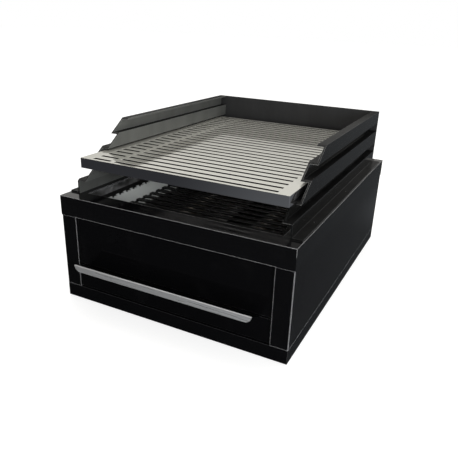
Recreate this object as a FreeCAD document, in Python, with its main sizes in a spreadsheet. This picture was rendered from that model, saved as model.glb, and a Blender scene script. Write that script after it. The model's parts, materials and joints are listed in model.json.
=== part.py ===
"""Table-top gas grill: a drawer cabinet, a firebox under a folded three-level rack, and a slotted grate.

Millimetres. X runs to the right, Y to the back, Z up. The origin is on the ground,
under the middle of the grill.
"""
import FreeCAD, Part
import os
import types

import Sketcher

doc = FreeCAD.newDocument("gas_grill")
sheet = doc.addObject("Spreadsheet::Sheet", "sizes")

# Driving dimensions, each with what it measures
SIZES = {
    "base_width": (450, "cabinet, over the cover"),
    "base_depth": (604, "cabinet, over the cover"),
    "base_height": (203, "ground to the top of the cover"),
    "skin": (2, "cabinet sheet"),
    "plate": (3, "rack, fascia and drawer front sheet"),
    "body_step": (0.75, "how far the cabinet sides stand in from the cover"),
    "skirt": (36.4, "height of the cover's rim"),
    "plinth": (27, "ground to the cabinet floor"),
    "ground_gap": (1.5, "ground to the plinth's edge"),
    "foot_radius": (16, "rubber foot"),
    "foot_inset": (26, "foot centre from the cabinet's edges"),
    "foot_screw_radius": (3, "screw in each foot"),
    "foot_screw_head": (6, "screw head and nut on each foot, radius"),
    "foot_screw_plate": (3, "screw head and nut on each foot, thickness"),
    "foot_well": (7, "well in a foot for its screw head, radius"),
    "side_flange": (14, "side panel's flange behind the back panel"),
    "stile": (32, "front post beside the fascia"),
    "recess": (5, "fascia and drawer front behind the posts"),
    "jamb": (16, "depth of the front frame's folded edge"),
    "fit_gap": (0.75, "gap round the fascia and the drawer front"),
    "fascia_bottom": (75, "ground to the fascia's lower edge"),
    "pull_length": (346.5, "drawer pull"),
    "pull_reach": (32.5, "pull in front of the cover"),
    "pull_top": (90.8, "ground to the top of the pull's lip"),
    "pull_lip": (11.8, "height of the pull's lip"),
    "pull_sheet": (1.5, "pull sheet"),
    "pull_flange": (22, "flange behind the drawer front"),
    "pull_gap": (1.5, "pull to the fascia's lower edge"),
    "tray_wall": (1.5, "drawer sheet"),
    "tray_depth": (520, "drawer behind its front"),
    "tray_height": (34, "drawer side"),
    "tray_lift": (7, "drawer floor above the cabinet floor"),
    "runner_inset": (35, "runner's outer face from the cabinet's side"),
    "runner_height": (20, "runner channel"),
    "runner_reach": (14, "runner channel, side to side"),
    "runner_rise": (12, "runner channel above the cabinet floor"),
    "runner_foot": (15, "runner's foot flange"),
    "slide_play": (0.5, "slide to the runner's flanges"),
    "slide_width": (6, "drawer slide beyond the channel's mouth"),
    "slide_start": (4, "runner and slide behind the drawer's tray front"),
    "drawer_screw_rise": (6, "drawer screws above the drawer floor"),
    "fire_side": (35.25, "firebox opening from the cabinet's side"),
    "fire_front": (35.25, "firebox opening from the front"),
    "fire_rear": (59, "firebox opening from the back"),
    "fire_room": (30, "firebox's underside below the burner's axis"),
    "fire_flange": (12, "firebox flange under the cover"),
    "drain_width": (60, "grease slot in the firebox floor"),
    "drain_margin": (70, "grease slot to the firebox ends"),
    "comb_drop": (15, "cover top to the comb ledge"),
    "comb_width": (16.5, "comb ledge"),
    "tooth_pitch": (21, "comb teeth"),
    "tooth_width": (10.5, "comb tooth"),
    "tooth_length": (4.5, "comb tooth"),
    "deflector_sheet": (1.5, "heat deflector sheet"),
    "deflector_drop": (33, "deflector below the comb ledge"),
    "deflector_lip": (13, "deflector's carrying lip"),
    "bar_pitch": (23.3, "flame guard bars"),
    "bar_width": (11, "flame guard bar"),
    "bar_thickness": (3, "flame guard bar"),
    "rail_width": (8, "flame guard end rail"),
    "rail_height": (6, "flame guard end rail"),
    "guard_gap": (0.6, "flame guard to the deflectors"),
    "burner_offset": (85, "burner from the middle"),
    "burner_radius": (14, "burner tube"),
    "burner_wall": (1.5, "burner tube"),
    "burner_drop": (24, "burner's axis below the flame guard"),
    "burner_front_gap": (22, "burner end to the firebox front"),
    "burner_tail": (14, "burner behind the firebox"),
    "burner_play": (0.1, "firebox's hole round the burner"),
    "burner_rest_depth": (18, "burner rest, front to back"),
    "burner_rest_post": (20, "burner rest's solid ends"),
    "burner_rest_gap": (6, "burner end to its rest"),
    "port_start": (20, "burner's closed end to its first port"),
    "port_stop": (40, "last port to the burner's open end"),
    "spark_offset": (110, "electrode from the middle"),
    "spark_rise": (5, "electrode above the burner"),
    "spark_reach": (30, "electrode into the firebox"),
    "spark_radius": (1.2, "electrode wire"),
    "insulator_radius": (3.5, "electrode's insulator"),
    "insulator_length": (12, "electrode's insulator"),
    "port_radius": (1.6, "burner port"),
    "port_pitch": (22, "burner ports"),
    "manifold_radius": (6, "gas pipe"),
    "manifold_wall": (1, "gas pipe"),
    "manifold_drop": (24, "gas pipe's axis below the burner's axis"),
    "manifold_back": (26, "gas pipe's axis from the back of the cabinet"),
    "pipe_cap": (4, "closed ends of the gas pipe"),
    "inlet_radius": (8, "gas inlet fitting"),
    "inlet_bore": (4, "gas inlet fitting"),
    "inlet_nut": (12, "gas inlet's nut, radius"),
    "inlet_nut_depth": (7, "gas inlet's nut"),
    "inlet_play": (0.4, "back panel's hole round the gas inlet"),
    "vent_length": (60, "air slots in the back panel"),
    "vent_width": (3, "air slots in the back panel"),
    "vent_pitch": (9, "air slots in the back panel"),
    "vent_rise": (16, "lowest air slot above the cabinet floor"),
    "valve_width": (20, "valve body"),
    "valve_wall": (3, "valve nose round its stem"),
    "valve_end_gap": (0.5, "valve nose to the back panel, and stem to its seat"),
    "injector_radius": (4.5, "injector"),
    "injector_bore": (1, "injector"),
    "injector_overlap": (6, "injector inside the burner's end"),
    "stem_radius": (3, "valve stem"),
    "stem_play": (0.05, "running clearance of stems and pins"),
    "knob_radius": (17, "control knob"),
    "knob_depth": (16, "control knob"),
    "knob_gap": (1.5, "knob to the back panel, and the panel's hole round the stem"),
    "grip_width": (8, "grip bar on a knob"),
    "grip_length": (29, "grip bar on a knob"),
    "igniter_offset": (150, "igniter from the middle"),
    "igniter_radius": (9, "igniter barrel"),
    "igniter_depth": (30, "igniter barrel behind the back panel"),
    "igniter_collar": (3, "igniter's collar on the back panel"),
    "igniter_well": (14, "igniter's bore for its button"),
    "button_radius": (6, "igniter button"),
    "button_travel": (4, "igniter button"),
    "button_proud": (7, "igniter button outside its collar"),
    "rack_inset": (19, "rack's outer face from the cabinet's side"),
    "rack_head": (22.5, "rack above its top rung"),
    "rack_front": (27.2, "rack's foot from the front"),
    "rack_rake_start": (27.5, "rake's lower end from the front"),
    "rack_rake_end": (162.7, "rake's upper end from the front"),
    "rack_rear": (31.4, "rack's back wall from the back"),
    "rung_first": (23.5, "lowest rung above the cover"),
    "rung_pitch": (47, "rung to rung"),
    "rung_height": (24.5, "rung, over its sheet"),
    "rung_depth": (14, "rung, inward from the outer wall"),
    "rack_top_flange": (12, "flange along the rack's top"),
    "rack_foot_flange": (17.5, "flange on the cover"),
    "screw_radius": (2, "rack and panel screws"),
    "screw_hole_play": (0.3, "screw hole over its screw"),
    "screw_head_radius": (3.6, "rack and panel screws"),
    "screw_head": (2.2, "rack and panel screws"),
    "grate_side_play": (5.9, "grate, gap to the rack wall on each side"),
    "grate_front": (29, "grate's front edge from the front"),
    "grate_length": (526, "grate, front to back"),
    "grate_height": (18.5, "grate, over its folded edge"),
    "grate_sheet": (2.5, "grate"),
    "grate_play": (0.3, "grate above its ledge"),
    "slot_first": (10.4, "first slot's centre from the grate's front"),
    "slot_pitch": (20.8, "grate slots"),
    "slot_width": (7, "grate slots"),
    "slot_margin": (22.3, "slots to the grate's sides"),
    "bridge_offset": (64, "bridge's middle from the grate's left edge"),
    "bridge_width": (9, "bridge between the short and the long slots"),
    "band_extra": (3.8, "extra width of the bar between the two slot fields"),
    "band_share": (0.44, "share of the slots in front of that bar"),
}
VENT_ROWS = 4
RUNGS = 2


class Dim:
    """A size that carries its sheet expression and its value together."""

    def __init__(self, text, value):
        self.text = text
        self.value = value

    def _join(self, other, sign, value, swap=False):
        other_text = other.text if isinstance(other, Dim) else repr(other)
        first, second = (other_text, self.text) if swap else (self.text, other_text)
        return Dim(f"({first} {sign} {second})", value)

    def __add__(self, other):
        return self._join(other, "+", self.value + number(other))

    def __radd__(self, other):
        return self._join(other, "+", self.value + number(other), swap=True)

    def __sub__(self, other):
        return self._join(other, "-", self.value - number(other))

    def __rsub__(self, other):
        return self._join(other, "-", number(other) - self.value, swap=True)

    def __mul__(self, other):
        return self._join(other, "*", self.value * number(other))

    def __rmul__(self, other):
        return self._join(other, "*", self.value * number(other), swap=True)

    def __truediv__(self, other):
        return self._join(other, "/", self.value / number(other))

    def __neg__(self):
        return Dim(f"(0 - {self.text})", -self.value)


def number(size):
    """The plain number behind a size."""
    return size.value if isinstance(size, Dim) else size


def fill_sheet():
    """Write the sizes into the sheet and return them by name."""
    named = types.SimpleNamespace()
    for row, (alias, (value, meaning)) in enumerate(SIZES.items(), start=1):
        sheet.set(f"A{row}", str(value))
        sheet.setAlias(f"A{row}", alias)
        sheet.set(f"B{row}", meaning)
        setattr(named, alias, Dim(f"sizes.{alias}", float(value)))
    doc.recompute()
    return named


s = fill_sheet()
nodes = []

# Planes that many pieces share
half_width = s.base_width / 2
half_depth = s.base_depth / 2
front = -half_depth
back = half_depth
cover_under = s.base_height - s.skin
side_top = s.base_height - s.skirt
side_face = half_width - s.body_step
end_face = half_depth - s.body_step
opening_half = half_width - s.stile
door_face = front + s.recess
door_back = door_face + s.plate
fire_half = half_width - s.fire_side
fire_start = front + s.fire_front
fire_end = back - s.fire_rear
comb_top = s.base_height - s.comb_drop
comb_under = comb_top - s.plate
comb_edge = fire_half - s.comb_width
panel_inner = end_face - s.skin
rack_outer = half_width - s.rack_inset
rack_height = s.rung_first + s.rung_pitch * (RUNGS - 1) + s.rung_height + s.rack_head
rack_top = s.base_height + rack_height
guard_low = comb_under - s.deflector_drop
burner_axis = guard_low - s.burner_drop
fire_floor = burner_axis - s.fire_room
pipe_axis = burner_axis - s.manifold_drop
rack_back = back - s.rack_rear
grate_edge = rack_outer - s.plate - s.grate_side_play
SIDES = {"left": -1, "right": 1}


def bind(thing, field, size):
    """Tie a property to a size, or set it to a plain number."""
    if isinstance(size, Dim):
        thing.setExpression(field, size.text)
    else:
        thing.setExpression(field, repr(float(size)))


def place(thing, x, y, z):
    """Tie an object's position to three sizes."""
    bind(thing, "Placement.Base.x", x)
    bind(thing, "Placement.Base.y", y)
    bind(thing, "Placement.Base.z", z)


def ordered(pair):
    """The two ends of a span, low end first."""
    first, second = pair
    return (first, second) if number(first) <= number(second) else (second, first)


def block(name, x, y, z):
    """A box between pairs of planes."""
    box = doc.addObject("Part::Box", name)
    x, y, z = ordered(x), ordered(y), ordered(z)
    bind(box, "Length", x[1] - x[0])
    bind(box, "Width", y[1] - y[0])
    bind(box, "Height", z[1] - z[0])
    place(box, x[0], y[0], z[0])
    return box


def turn(axis):
    """The rotation that lays a cylinder's length along an axis."""
    if axis == "x":
        return FreeCAD.Rotation(FreeCAD.Vector(0, 1, 0), 90)
    if axis == "y":
        return FreeCAD.Rotation(FreeCAD.Vector(1, 0, 0), -90)
    return FreeCAD.Rotation()


def rod(name, axis, start, radius, length):
    """A cylinder from a start point along an axis."""
    cylinder = doc.addObject("Part::Cylinder", name)
    bind(cylinder, "Radius", radius)
    bind(cylinder, "Height", length)
    cylinder.Placement = FreeCAD.Placement(FreeCAD.Vector(0, 0, 0), turn(axis))
    place(cylinder, *start)
    return cylinder


def fuse(name, pieces):
    """One solid from touching or overlapping pieces."""
    joined = doc.addObject("Part::MultiFuse", name)
    joined.Shapes = pieces
    joined.Refine = True
    return joined


def cut(name, base, tools):
    """A solid less one or more others."""
    tool = tools[0]
    if len(tools) > 1:
        tool = doc.addObject("Part::Compound", name + "_tools")
        tool.Links = tools
    result = doc.addObject("Part::Cut", name)
    result.Base = base
    result.Tool = tool
    return result


def group(name, pieces):
    """Identical separate solids held in one node."""
    compound = doc.addObject("Part::Compound", name)
    compound.Links = pieces
    return compound


def outline(body, role, loops, offset):
    """A sketch of closed polygons on one of a body's own planes, moved along its normal."""
    sketch = body.newObject("Sketcher::SketchObject", body.Name + "_outline")
    plane = next(item for item in body.Origin.OriginFeatures if item.Role == role)
    sketch.AttachmentSupport = (plane, [""])
    sketch.MapMode = "FlatFace"
    bind(sketch, "AttachmentOffset.Base.z", offset)
    first = 0
    for points in loops:
        corners = [FreeCAD.Vector(number(u), number(v), 0) for u, v in points]
        count = len(corners)
        for index in range(count):
            line = Part.LineSegment(corners[index], corners[(index + 1) % count])
            sketch.addGeometry(line, False)
        for index in range(count):
            following = first + (index + 1) % count
            sketch.addConstraint(Sketcher.Constraint("Coincident", first + index, 2, following, 1))
        for index, (u, v) in enumerate(points):
            for kind, size in (("DistanceX", u), ("DistanceY", v)):
                datum = Sketcher.Constraint(kind, -1, 1, first + index, 1, number(size))
                row = sketch.addConstraint(datum)
                bind(sketch, f"Constraints[{row}]", size)
        first += count
    return sketch


def rail(name, role, points, start, length):
    """A sheet or bar of constant section: XZ sections run to the front, YZ ones to the right."""
    body = doc.addObject("PartDesign::Body", name)
    offset = -start if role == "XZ_Plane" else start
    sketch = outline(body, role, [points], offset)
    pad = body.newObject("PartDesign::Pad", name + "_pad")
    pad.Profile = sketch
    bind(pad, "Length", length)
    body.Tip = pad
    return body


def keep(name, thing):
    """Name a finished sub-part for its file."""
    thing.Label = name
    nodes.append(thing)
    return thing


def make_plinth():
    """Cabinet floor with its folded plinth, on four rubber feet."""
    outer = block("pan_outer", (-side_face, side_face), (-end_face, end_face), (s.ground_gap, s.plinth))
    inner_half = side_face - s.skin
    inner_end = end_face - s.skin
    inner = block("pan_inner", (-inner_half, inner_half), (-inner_end, inner_end),
                  (s.ground_gap - 1, s.plinth - s.skin))
    holes = []
    foot_top = s.plinth - s.skin
    screws = []
    for way, along in (("front", -1), ("rear", 1)):
        for hand, side in SIDES.items():
            x = side * (half_width - s.foot_inset)
            y = along * (half_depth - s.foot_inset)
            foot = rod("foot", "z", (x, y, 0), s.foot_radius, foot_top)
            bore = rod("foot_bore", "z", (x, y, -1), s.foot_screw_radius + s.screw_hole_play, s.plinth)
            well = rod("foot_well_cut", "z", (x, y, -1), s.foot_well, foot_top / 2 + 1)
            keep(f"foot_{way}_{hand}", cut("foot_cut", foot, [bore, well]))
            holes.append(rod("pan_hole", "z", (x, y, foot_top - 1), s.foot_screw_radius + s.screw_hole_play,
                             s.skin + 2))
            shank = rod("foot_shank", "z", (x, y, foot_top / 2 - 1), s.foot_screw_radius,
                        foot_top / 2 + s.skin + 1)
            head = rod("foot_head", "z", (x, y, foot_top / 2 - s.foot_screw_plate), s.foot_screw_head,
                       s.foot_screw_plate)
            nut = rod("foot_nut", "z", (x, y, s.plinth), s.foot_screw_head, s.foot_screw_plate)
            screws.append(fuse("foot_screw", [shank, head, nut]))
    keep("base_pan", cut("pan", outer, [inner] + holes))
    keep("foot_screws", group("foot_screw_set", screws))


def panel_screw_places():
    """Where the back panel is screwed to the side panels' flanges."""
    places = []
    for side in SIDES.values():
        for share in (0.12, 0.5, 0.88):
            x = side * (side_face - s.skin - s.side_flange / 2)
            places.append((x, s.plinth + share * (side_top - s.plinth)))
    return places


def make_sides():
    """The two cabinet sides, under the cover's rim, each with a flange for the back panel."""
    hole_radius = s.screw_radius + s.screw_hole_play
    for hand, side in SIDES.items():
        sheet_x = (side * (side_face - s.skin), side * side_face)
        sheet_z = (s.plinth, side_top)
        wall = block("side_sheet", sheet_x, (-end_face + s.skin, panel_inner), sheet_z)
        flange = block("side_flange_sheet", (side * (side_face - s.skin - s.side_flange), side * side_face),
                       (panel_inner - s.skin, panel_inner), sheet_z)
        holes = []
        for x, z in panel_screw_places():
            if number(x) * side > 0:
                holes.append(rod("side_hole", "y", (x, panel_inner - s.skin - 1, z), hole_radius, s.skin + 2))
        keep(f"side_panel_{hand}", cut("side", fuse("side_fuse", [wall, flange]), holes))


def make_front_frame():
    """Two front posts with edges folded back round the fascia and the drawer."""
    rim = side_top + s.skin
    face = block("frame_face", (-side_face, side_face), (-end_face, -end_face + s.skin), (s.plinth, side_top))
    gap = block("frame_gap", (-opening_half, opening_half), (-end_face - 1, -end_face + s.skin + 1),
                (s.plinth - 1, side_top + 1))
    posts = cut("frame_posts", face, [gap])
    fold_y = (-end_face + s.skin, -end_face + s.skin + s.jamb)
    folds = []
    for side in SIDES.values():
        fold_x = (side * opening_half, side * (opening_half + s.skin))
        folds.append(block("frame_fold", fold_x, fold_y, (s.plinth, rim)))
    head_x = (-opening_half - s.skin, opening_half + s.skin)
    folds.append(block("frame_head", head_x, fold_y, (side_top, rim)))
    keep("front_frame", fuse("frame", [posts] + folds))
    keep("fascia_panel", block("fascia", (-opening_half + s.fit_gap, opening_half - s.fit_gap),
                               (door_face, door_back), (s.fascia_bottom, side_top - s.fit_gap)))


def rack_screw_places():
    """Where the rack's flanges are screwed to the cover."""
    places = []
    flange_middle = rack_outer + s.rack_foot_flange / 2
    for side in SIDES.values():
        for share in (0.15, 0.5, 0.85):
            y = front + s.rack_front + share * (rack_back - front - s.rack_front)
            places.append((side * flange_middle, y))
    for share in (-0.7, 0, 0.7):
        places.append((share * rack_outer, rack_back + s.plate + s.rack_foot_flange / 2))
    return places


def make_cover():
    """The cover with its deep rim and the firebox opening."""
    outer = block("cover_outer", (-half_width, half_width), (front, back), (side_top, s.base_height))
    hollow = block("cover_hollow", (-half_width + s.skin, half_width - s.skin),
                   (front + s.skin, back - s.skin), (side_top - 1, cover_under))
    opening = block("cover_opening", (-fire_half, fire_half), (fire_start, fire_end),
                    (cover_under - 1, s.base_height + 1))
    holes = []
    hole_radius = s.screw_radius + s.screw_hole_play
    for x, y in rack_screw_places():
        holes.append(rod("cover_hole", "z", (x, y, cover_under - 1), hole_radius, s.skin + 2))
    keep("top_cover", cut("cover", outer, [hollow, opening] + holes))


def make_back_panel():
    """The back panel with holes for the gas inlet, valve stems, igniter and air."""
    sheet_y = (panel_inner, end_face)
    panel = block("back_sheet", (-side_face, side_face), sheet_y, (s.plinth, side_top))
    through = s.skin + 2
    start = panel_inner - 1
    holes = [rod("inlet_hole", "y", (0, start, pipe_axis), s.inlet_radius + s.inlet_play, through)]
    for side in SIDES.values():
        stem_hole = s.stem_radius + s.knob_gap
        x = side * s.burner_offset
        holes.append(rod("stem_opening", "y", (x, start, burner_axis), stem_hole, through))
    holes.append(rod("igniter_hole", "y", (s.igniter_offset, start, burner_axis),
                     s.igniter_radius + s.stem_play, through))
    for row in range(VENT_ROWS):
        z = s.plinth + s.vent_rise + row * s.vent_pitch
        for side in SIDES.values():
            middle = side * half_width / 2
            holes.append(block("vent", (middle - s.vent_length / 2, middle + s.vent_length / 2),
                               (start, start + through), (z, z + s.vent_width)))
    screws = []
    for x, z in panel_screw_places():
        holes.append(rod("panel_hole", "y", (x, start, z), s.screw_radius + s.screw_hole_play, through))
        shank = rod("panel_shank", "y", (x, panel_inner - s.skin * 2, z), s.screw_radius, s.skin * 3)
        head = rod("panel_head", "y", (x, end_face, z), s.screw_head_radius, s.screw_head)
        screws.append(fuse("panel_screw", [shank, head]))
    keep("back_panel", cut("back_panel_cut", panel, holes))
    keep("panel_screws", group("panel_screw_set", screws))


def make_drawer():
    """The grease drawer: front, tray, pull and two slides."""
    front_top = s.fascia_bottom - s.pull_gap - s.pull_sheet
    front_under = s.plinth + s.fit_gap
    keep("drawer_front", block("drawer_face", (-opening_half + s.fit_gap, opening_half - s.fit_gap),
                               (door_face, door_back), (front_under, front_top)))
    slide_inner = half_width - s.runner_inset - s.runner_reach - s.slide_width
    tray_y = (door_back + s.pull_sheet, door_back + s.pull_sheet + s.tray_depth)
    tray_z = (s.plinth + s.tray_lift, s.plinth + s.tray_lift + s.tray_height)
    tray = block("tray_outer", (-slide_inner, slide_inner), tray_y, tray_z)
    inner = slide_inner - s.tray_wall
    hollow = block("tray_hollow", (-inner, inner), (tray_y[0] + s.tray_wall, tray_y[1] - s.tray_wall),
                   (tray_z[0] + s.tray_wall, tray_z[1] + 1))
    keep("drawer_tray", cut("tray", tray, [hollow]))
    make_pull(front_top)
    make_slides(slide_inner, tray_y)
    make_drawer_screws(tray_z)


def make_pull(front_top):
    """A folded sheet that rises out of the drawer's top edge and ends in a lip."""
    lip_face = front - s.pull_reach
    sheet_top = front_top + s.pull_sheet
    points = [
        (door_back, front_top - s.pull_flange),
        (door_back + s.pull_sheet, front_top - s.pull_flange),
        (door_back + s.pull_sheet, sheet_top),
        (door_face, sheet_top),
        (lip_face, s.pull_top),
        (lip_face, s.pull_top - s.pull_lip),
        (lip_face + s.pull_sheet, s.pull_top - s.pull_lip),
        (lip_face + s.pull_sheet, s.pull_top - 1.6 * s.pull_sheet),
        (door_face, front_top),
        (door_back, front_top),
    ]
    fold = rail("pull_fold", "YZ_Plane", points, -s.pull_length / 2, s.pull_length)
    corners = []
    for side in SIDES.values():
        end = side * s.pull_length / 2
        waste = block("pull_waste", (end - side * s.pull_lip, end + side),
                      (lip_face - 1, lip_face + s.pull_sheet + 1), (s.pull_top - s.pull_lip - 1, s.pull_top))
        stay = rod("pull_round", "y", (end - side * s.pull_lip, lip_face - 2, s.pull_top), s.pull_lip,
                   s.pull_sheet + 4)
        corners.append(cut("pull_corner", waste, [stay]))
    keep("drawer_pull", cut("pull", fold, corners))


def make_slides(slide_inner, tray_y):
    """Channels on the cabinet floor and the bars on the drawer that run in them."""
    outer = half_width - s.runner_inset
    low = s.plinth + s.runner_rise
    high = low + s.runner_height
    runner_end = tray_y[1]
    runner_start = door_back + s.pull_sheet + s.slide_start
    for hand, side in SIDES.items():
        points = [
            (side * outer, s.plinth),
            (side * outer, high),
            (side * (outer - s.runner_reach), high),
            (side * (outer - s.runner_reach), high - s.skin),
            (side * (outer - s.skin), high - s.skin),
            (side * (outer - s.skin), low + s.skin),
            (side * (outer - s.runner_reach), low + s.skin),
            (side * (outer - s.runner_reach), low),
            (side * (outer - s.skin), low),
            (side * (outer - s.skin), s.plinth + s.skin),
            (side * (outer - s.skin - s.runner_foot), s.plinth + s.skin),
            (side * (outer - s.skin - s.runner_foot), s.plinth),
        ]
        channel = rail(f"channel_{hand}", "XZ_Plane", points, runner_end, runner_end - runner_start)
        keep(f"runner_{hand}", channel)
        bar_x = (side * slide_inner, side * (outer - s.skin - s.slide_play))
        bar_z = (low + s.skin + s.slide_play, high - s.skin - s.slide_play)
        keep(f"slide_{hand}", block(f"slide_bar_{hand}", bar_x, (runner_start, runner_end), bar_z))


def make_drawer_screws(tray_z):
    """Screws that hold the drawer front and the pull's flange to the tray."""
    screws = []
    height = tray_z[0] + s.tray_wall + s.drawer_screw_rise
    for share in (-0.8, -0.27, 0.27, 0.8):
        x = share * opening_half
        y = door_back + s.pull_sheet + s.tray_wall
        screws.append(rod("drawer_screw_head", "y", (x, y, height), s.screw_head_radius, s.screw_head))
    keep("drawer_screws", group("drawer_screw_set", screws))


def make_firebox():
    """The firebox: an open box hung under the cover, with a grease slot over the drawer."""
    outer_half = fire_half + s.skin
    outer_y = (fire_start - s.skin, fire_end + s.skin)
    shell = block("fire_outer", (-outer_half, outer_half), outer_y, (fire_floor, cover_under))
    flange = block("fire_flange_plate", (-outer_half - s.fire_flange, outer_half + s.fire_flange),
                   (outer_y[0] - s.fire_flange, outer_y[1] + s.fire_flange),
                   (cover_under - s.skin, cover_under))
    hollow = block("fire_hollow", (-fire_half, fire_half), (fire_start, fire_end),
                   (fire_floor + s.skin, cover_under + 1))
    drain = block("fire_drain", (-s.drain_width / 2, s.drain_width / 2),
                  (fire_start + s.drain_margin, fire_end - s.drain_margin),
                  (fire_floor - 1, fire_floor + s.skin + 1))
    holes = []
    for side in SIDES.values():
        holes.append(rod("burner_hole", "y", (side * s.burner_offset, fire_end - 1, burner_axis),
                         s.burner_radius + s.burner_play, s.skin + 2))
    keep("firebox", cut("firebox_cut", fuse("fire_shell", [shell, flange]), [hollow, drain] + holes))


def make_combs():
    """Toothed ledges along both sides of the firebox."""
    teeth = int((number(fire_end - fire_start) - number(s.tooth_width)) // number(s.tooth_pitch)) + 1
    for hand, side in SIDES.items():
        pieces = [block("comb_plate", (side * fire_half, side * comb_edge), (fire_start, fire_end),
                        (comb_under, comb_top))]
        for index in range(teeth):
            start = fire_start + s.tooth_width / 4 + index * s.tooth_pitch
            pieces.append(block("comb_tooth", (side * comb_edge, side * (comb_edge - s.tooth_length)),
                                (start, start + s.tooth_width), (comb_under, comb_top)))
        keep(f"comb_ledge_{hand}", fuse("comb", pieces))


def make_deflectors():
    """Bright heat deflectors under the comb ledges, with a lip that carries the flame guard."""
    thick = s.deflector_sheet
    lip_top = guard_low
    for hand, side in SIDES.items():
        face = comb_edge
        points = [
            (side * fire_half, comb_under),
            (side * face, comb_under),
            (side * face, lip_top),
            (side * (face - s.deflector_lip), lip_top),
            (side * (face - s.deflector_lip), lip_top - thick),
            (side * (face + thick), lip_top - thick),
            (side * (face + thick), comb_under - thick),
            (side * fire_half, comb_under - thick),
        ]
        sheet_bend = rail(f"deflector_bend_{hand}", "XZ_Plane", points, fire_end, fire_end - fire_start)
        keep(f"deflector_{hand}", sheet_bend)


def make_flame_guard():
    """Cross bars over the burners, on two end rails that lie on the deflectors' lips."""
    edge = comb_edge - s.guard_gap
    bar_low = guard_low + s.rail_height
    guard_y = (fire_start + s.guard_gap, fire_end - s.guard_gap)
    pieces = []
    for side in SIDES.values():
        rail_x = (side * edge, side * (edge - s.rail_width))
        pieces.append(block("guard_rail", rail_x, guard_y, (guard_low, bar_low)))
    bars = int((number(guard_y[1] - guard_y[0]) - number(s.bar_width)) // number(s.bar_pitch)) + 1
    for index in range(bars):
        start = guard_y[0] + index * s.bar_pitch
        pieces.append(block("guard_bar", (-edge, edge), (start, start + s.bar_width),
                            (bar_low, bar_low + s.bar_thickness)))
    keep("flame_guard", fuse("guard", pieces))


def make_burners():
    """Two tube burners, their front rest, injectors and electrode."""
    start = fire_start + s.burner_front_gap
    length = fire_end + s.skin + s.burner_tail - start
    port_line = length - s.port_start - s.port_stop
    ports = int(number(port_line) // number(s.port_pitch)) + 1
    for hand, side in SIDES.items():
        x = side * s.burner_offset
        tube = rod("burner_tube", "y", (x, start, burner_axis), s.burner_radius, length)
        bore = rod("burner_bore", "y", (x, start + s.burner_wall, burner_axis),
                   s.burner_radius - s.burner_wall, length)
        cuts = [bore]
        for index in range(ports):
            y = start + s.port_start + index * s.port_pitch
            cuts.append(rod("burner_port", "z", (x, y, burner_axis), s.port_radius, s.burner_radius + 1))
        keep(f"burner_{hand}", cut("burner", tube, cuts))
    rest_y = (start + s.burner_rest_gap, start + s.burner_rest_gap + s.burner_rest_depth)
    rest_z = (fire_floor + s.skin, burner_axis - s.burner_radius)
    bar = block("rest_bar", (-fire_half, fire_half), rest_y, rest_z)
    post_inner = fire_half - s.burner_rest_post
    under = block("rest_under", (-post_inner, post_inner), (rest_y[0] + s.skin, rest_y[1] + 1),
                  (rest_z[0] - 1, rest_z[1] - s.skin))
    keep("burner_rest", cut("rest", bar, [under]))
    tip_height = burner_axis + s.burner_radius + s.spark_rise
    pin = rod("spark_pin", "y", (s.spark_offset, fire_end - s.spark_reach, tip_height), s.spark_radius,
              s.spark_reach)
    insulator = rod("spark_insulator", "y", (s.spark_offset, fire_end - s.insulator_length, tip_height),
                    s.insulator_radius, s.insulator_length)
    keep("spark_electrode", fuse("spark", [pin, insulator]))


def make_gas_train():
    """Inlet, gas pipe, two valves with their stems and injectors."""
    pipe_y = back - s.manifold_back
    half_pipe = s.burner_offset + s.valve_width / 2
    pipe = rod("pipe", "x", (-half_pipe, pipe_y, pipe_axis), s.manifold_radius, half_pipe * 2)
    bore = rod("pipe_bore", "x", (s.pipe_cap - half_pipe, pipe_y, pipe_axis),
               s.manifold_radius - s.manifold_wall, (half_pipe - s.pipe_cap) * 2)
    keep("gas_manifold", cut("manifold", pipe, [bore]))
    inlet_start = pipe_y + s.manifold_radius
    inlet_end = back + s.pull_reach
    fitting = rod("inlet_body", "y", (0, inlet_start, pipe_axis), s.inlet_radius, inlet_end - inlet_start)
    passage = rod("inlet_passage", "y", (0, inlet_start + s.pipe_cap, pipe_axis), s.inlet_bore,
                  inlet_end - inlet_start)
    nut = rod("inlet_nut_disc", "y", (0, end_face, pipe_axis), s.inlet_nut, s.inlet_nut_depth)
    keep("gas_inlet", cut("inlet", fuse("inlet_fuse", [fitting, nut]), [passage]))
    valve_low = pipe_axis + s.manifold_radius
    valve_y = (pipe_y - s.valve_width / 2, pipe_y + s.valve_width / 2)
    injector_tip = fire_end + s.skin + s.burner_tail - s.injector_overlap
    for hand, side in SIDES.items():
        x = side * s.burner_offset
        body = block("valve_block", (x - s.valve_width / 2, x + s.valve_width / 2), valve_y,
                     (valve_low, burner_axis + s.valve_width / 2))
        nose = rod("valve_nose", "y", (x, pipe_y, burner_axis), s.stem_radius + s.valve_wall,
                   panel_inner - pipe_y - s.valve_end_gap)
        stem_bore = rod("valve_bore", "y", (x, pipe_y, burner_axis), s.stem_radius + s.stem_play,
                        panel_inner - pipe_y)
        keep(f"valve_{hand}", cut("valve", fuse("valve_fuse", [body, nose]), [stem_bore]))
        jet = rod("jet", "y", (x, injector_tip, burner_axis), s.injector_radius, valve_y[0] - injector_tip)
        jet_bore = rod("jet_bore", "y", (x, injector_tip - 1, burner_axis), s.injector_bore,
                       valve_y[0] - injector_tip)
        keep(f"injector_{hand}", cut("injector", jet, [jet_bore]))
        stem_end = end_face + s.knob_gap + s.knob_depth / 2
        stem_start = pipe_y + s.valve_end_gap
        stem = rod("stem", "y", (x, stem_start, burner_axis), s.stem_radius, stem_end - stem_start)
        keep(f"valve_stem_{hand}", stem)
        make_knob(hand, x)


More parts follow.
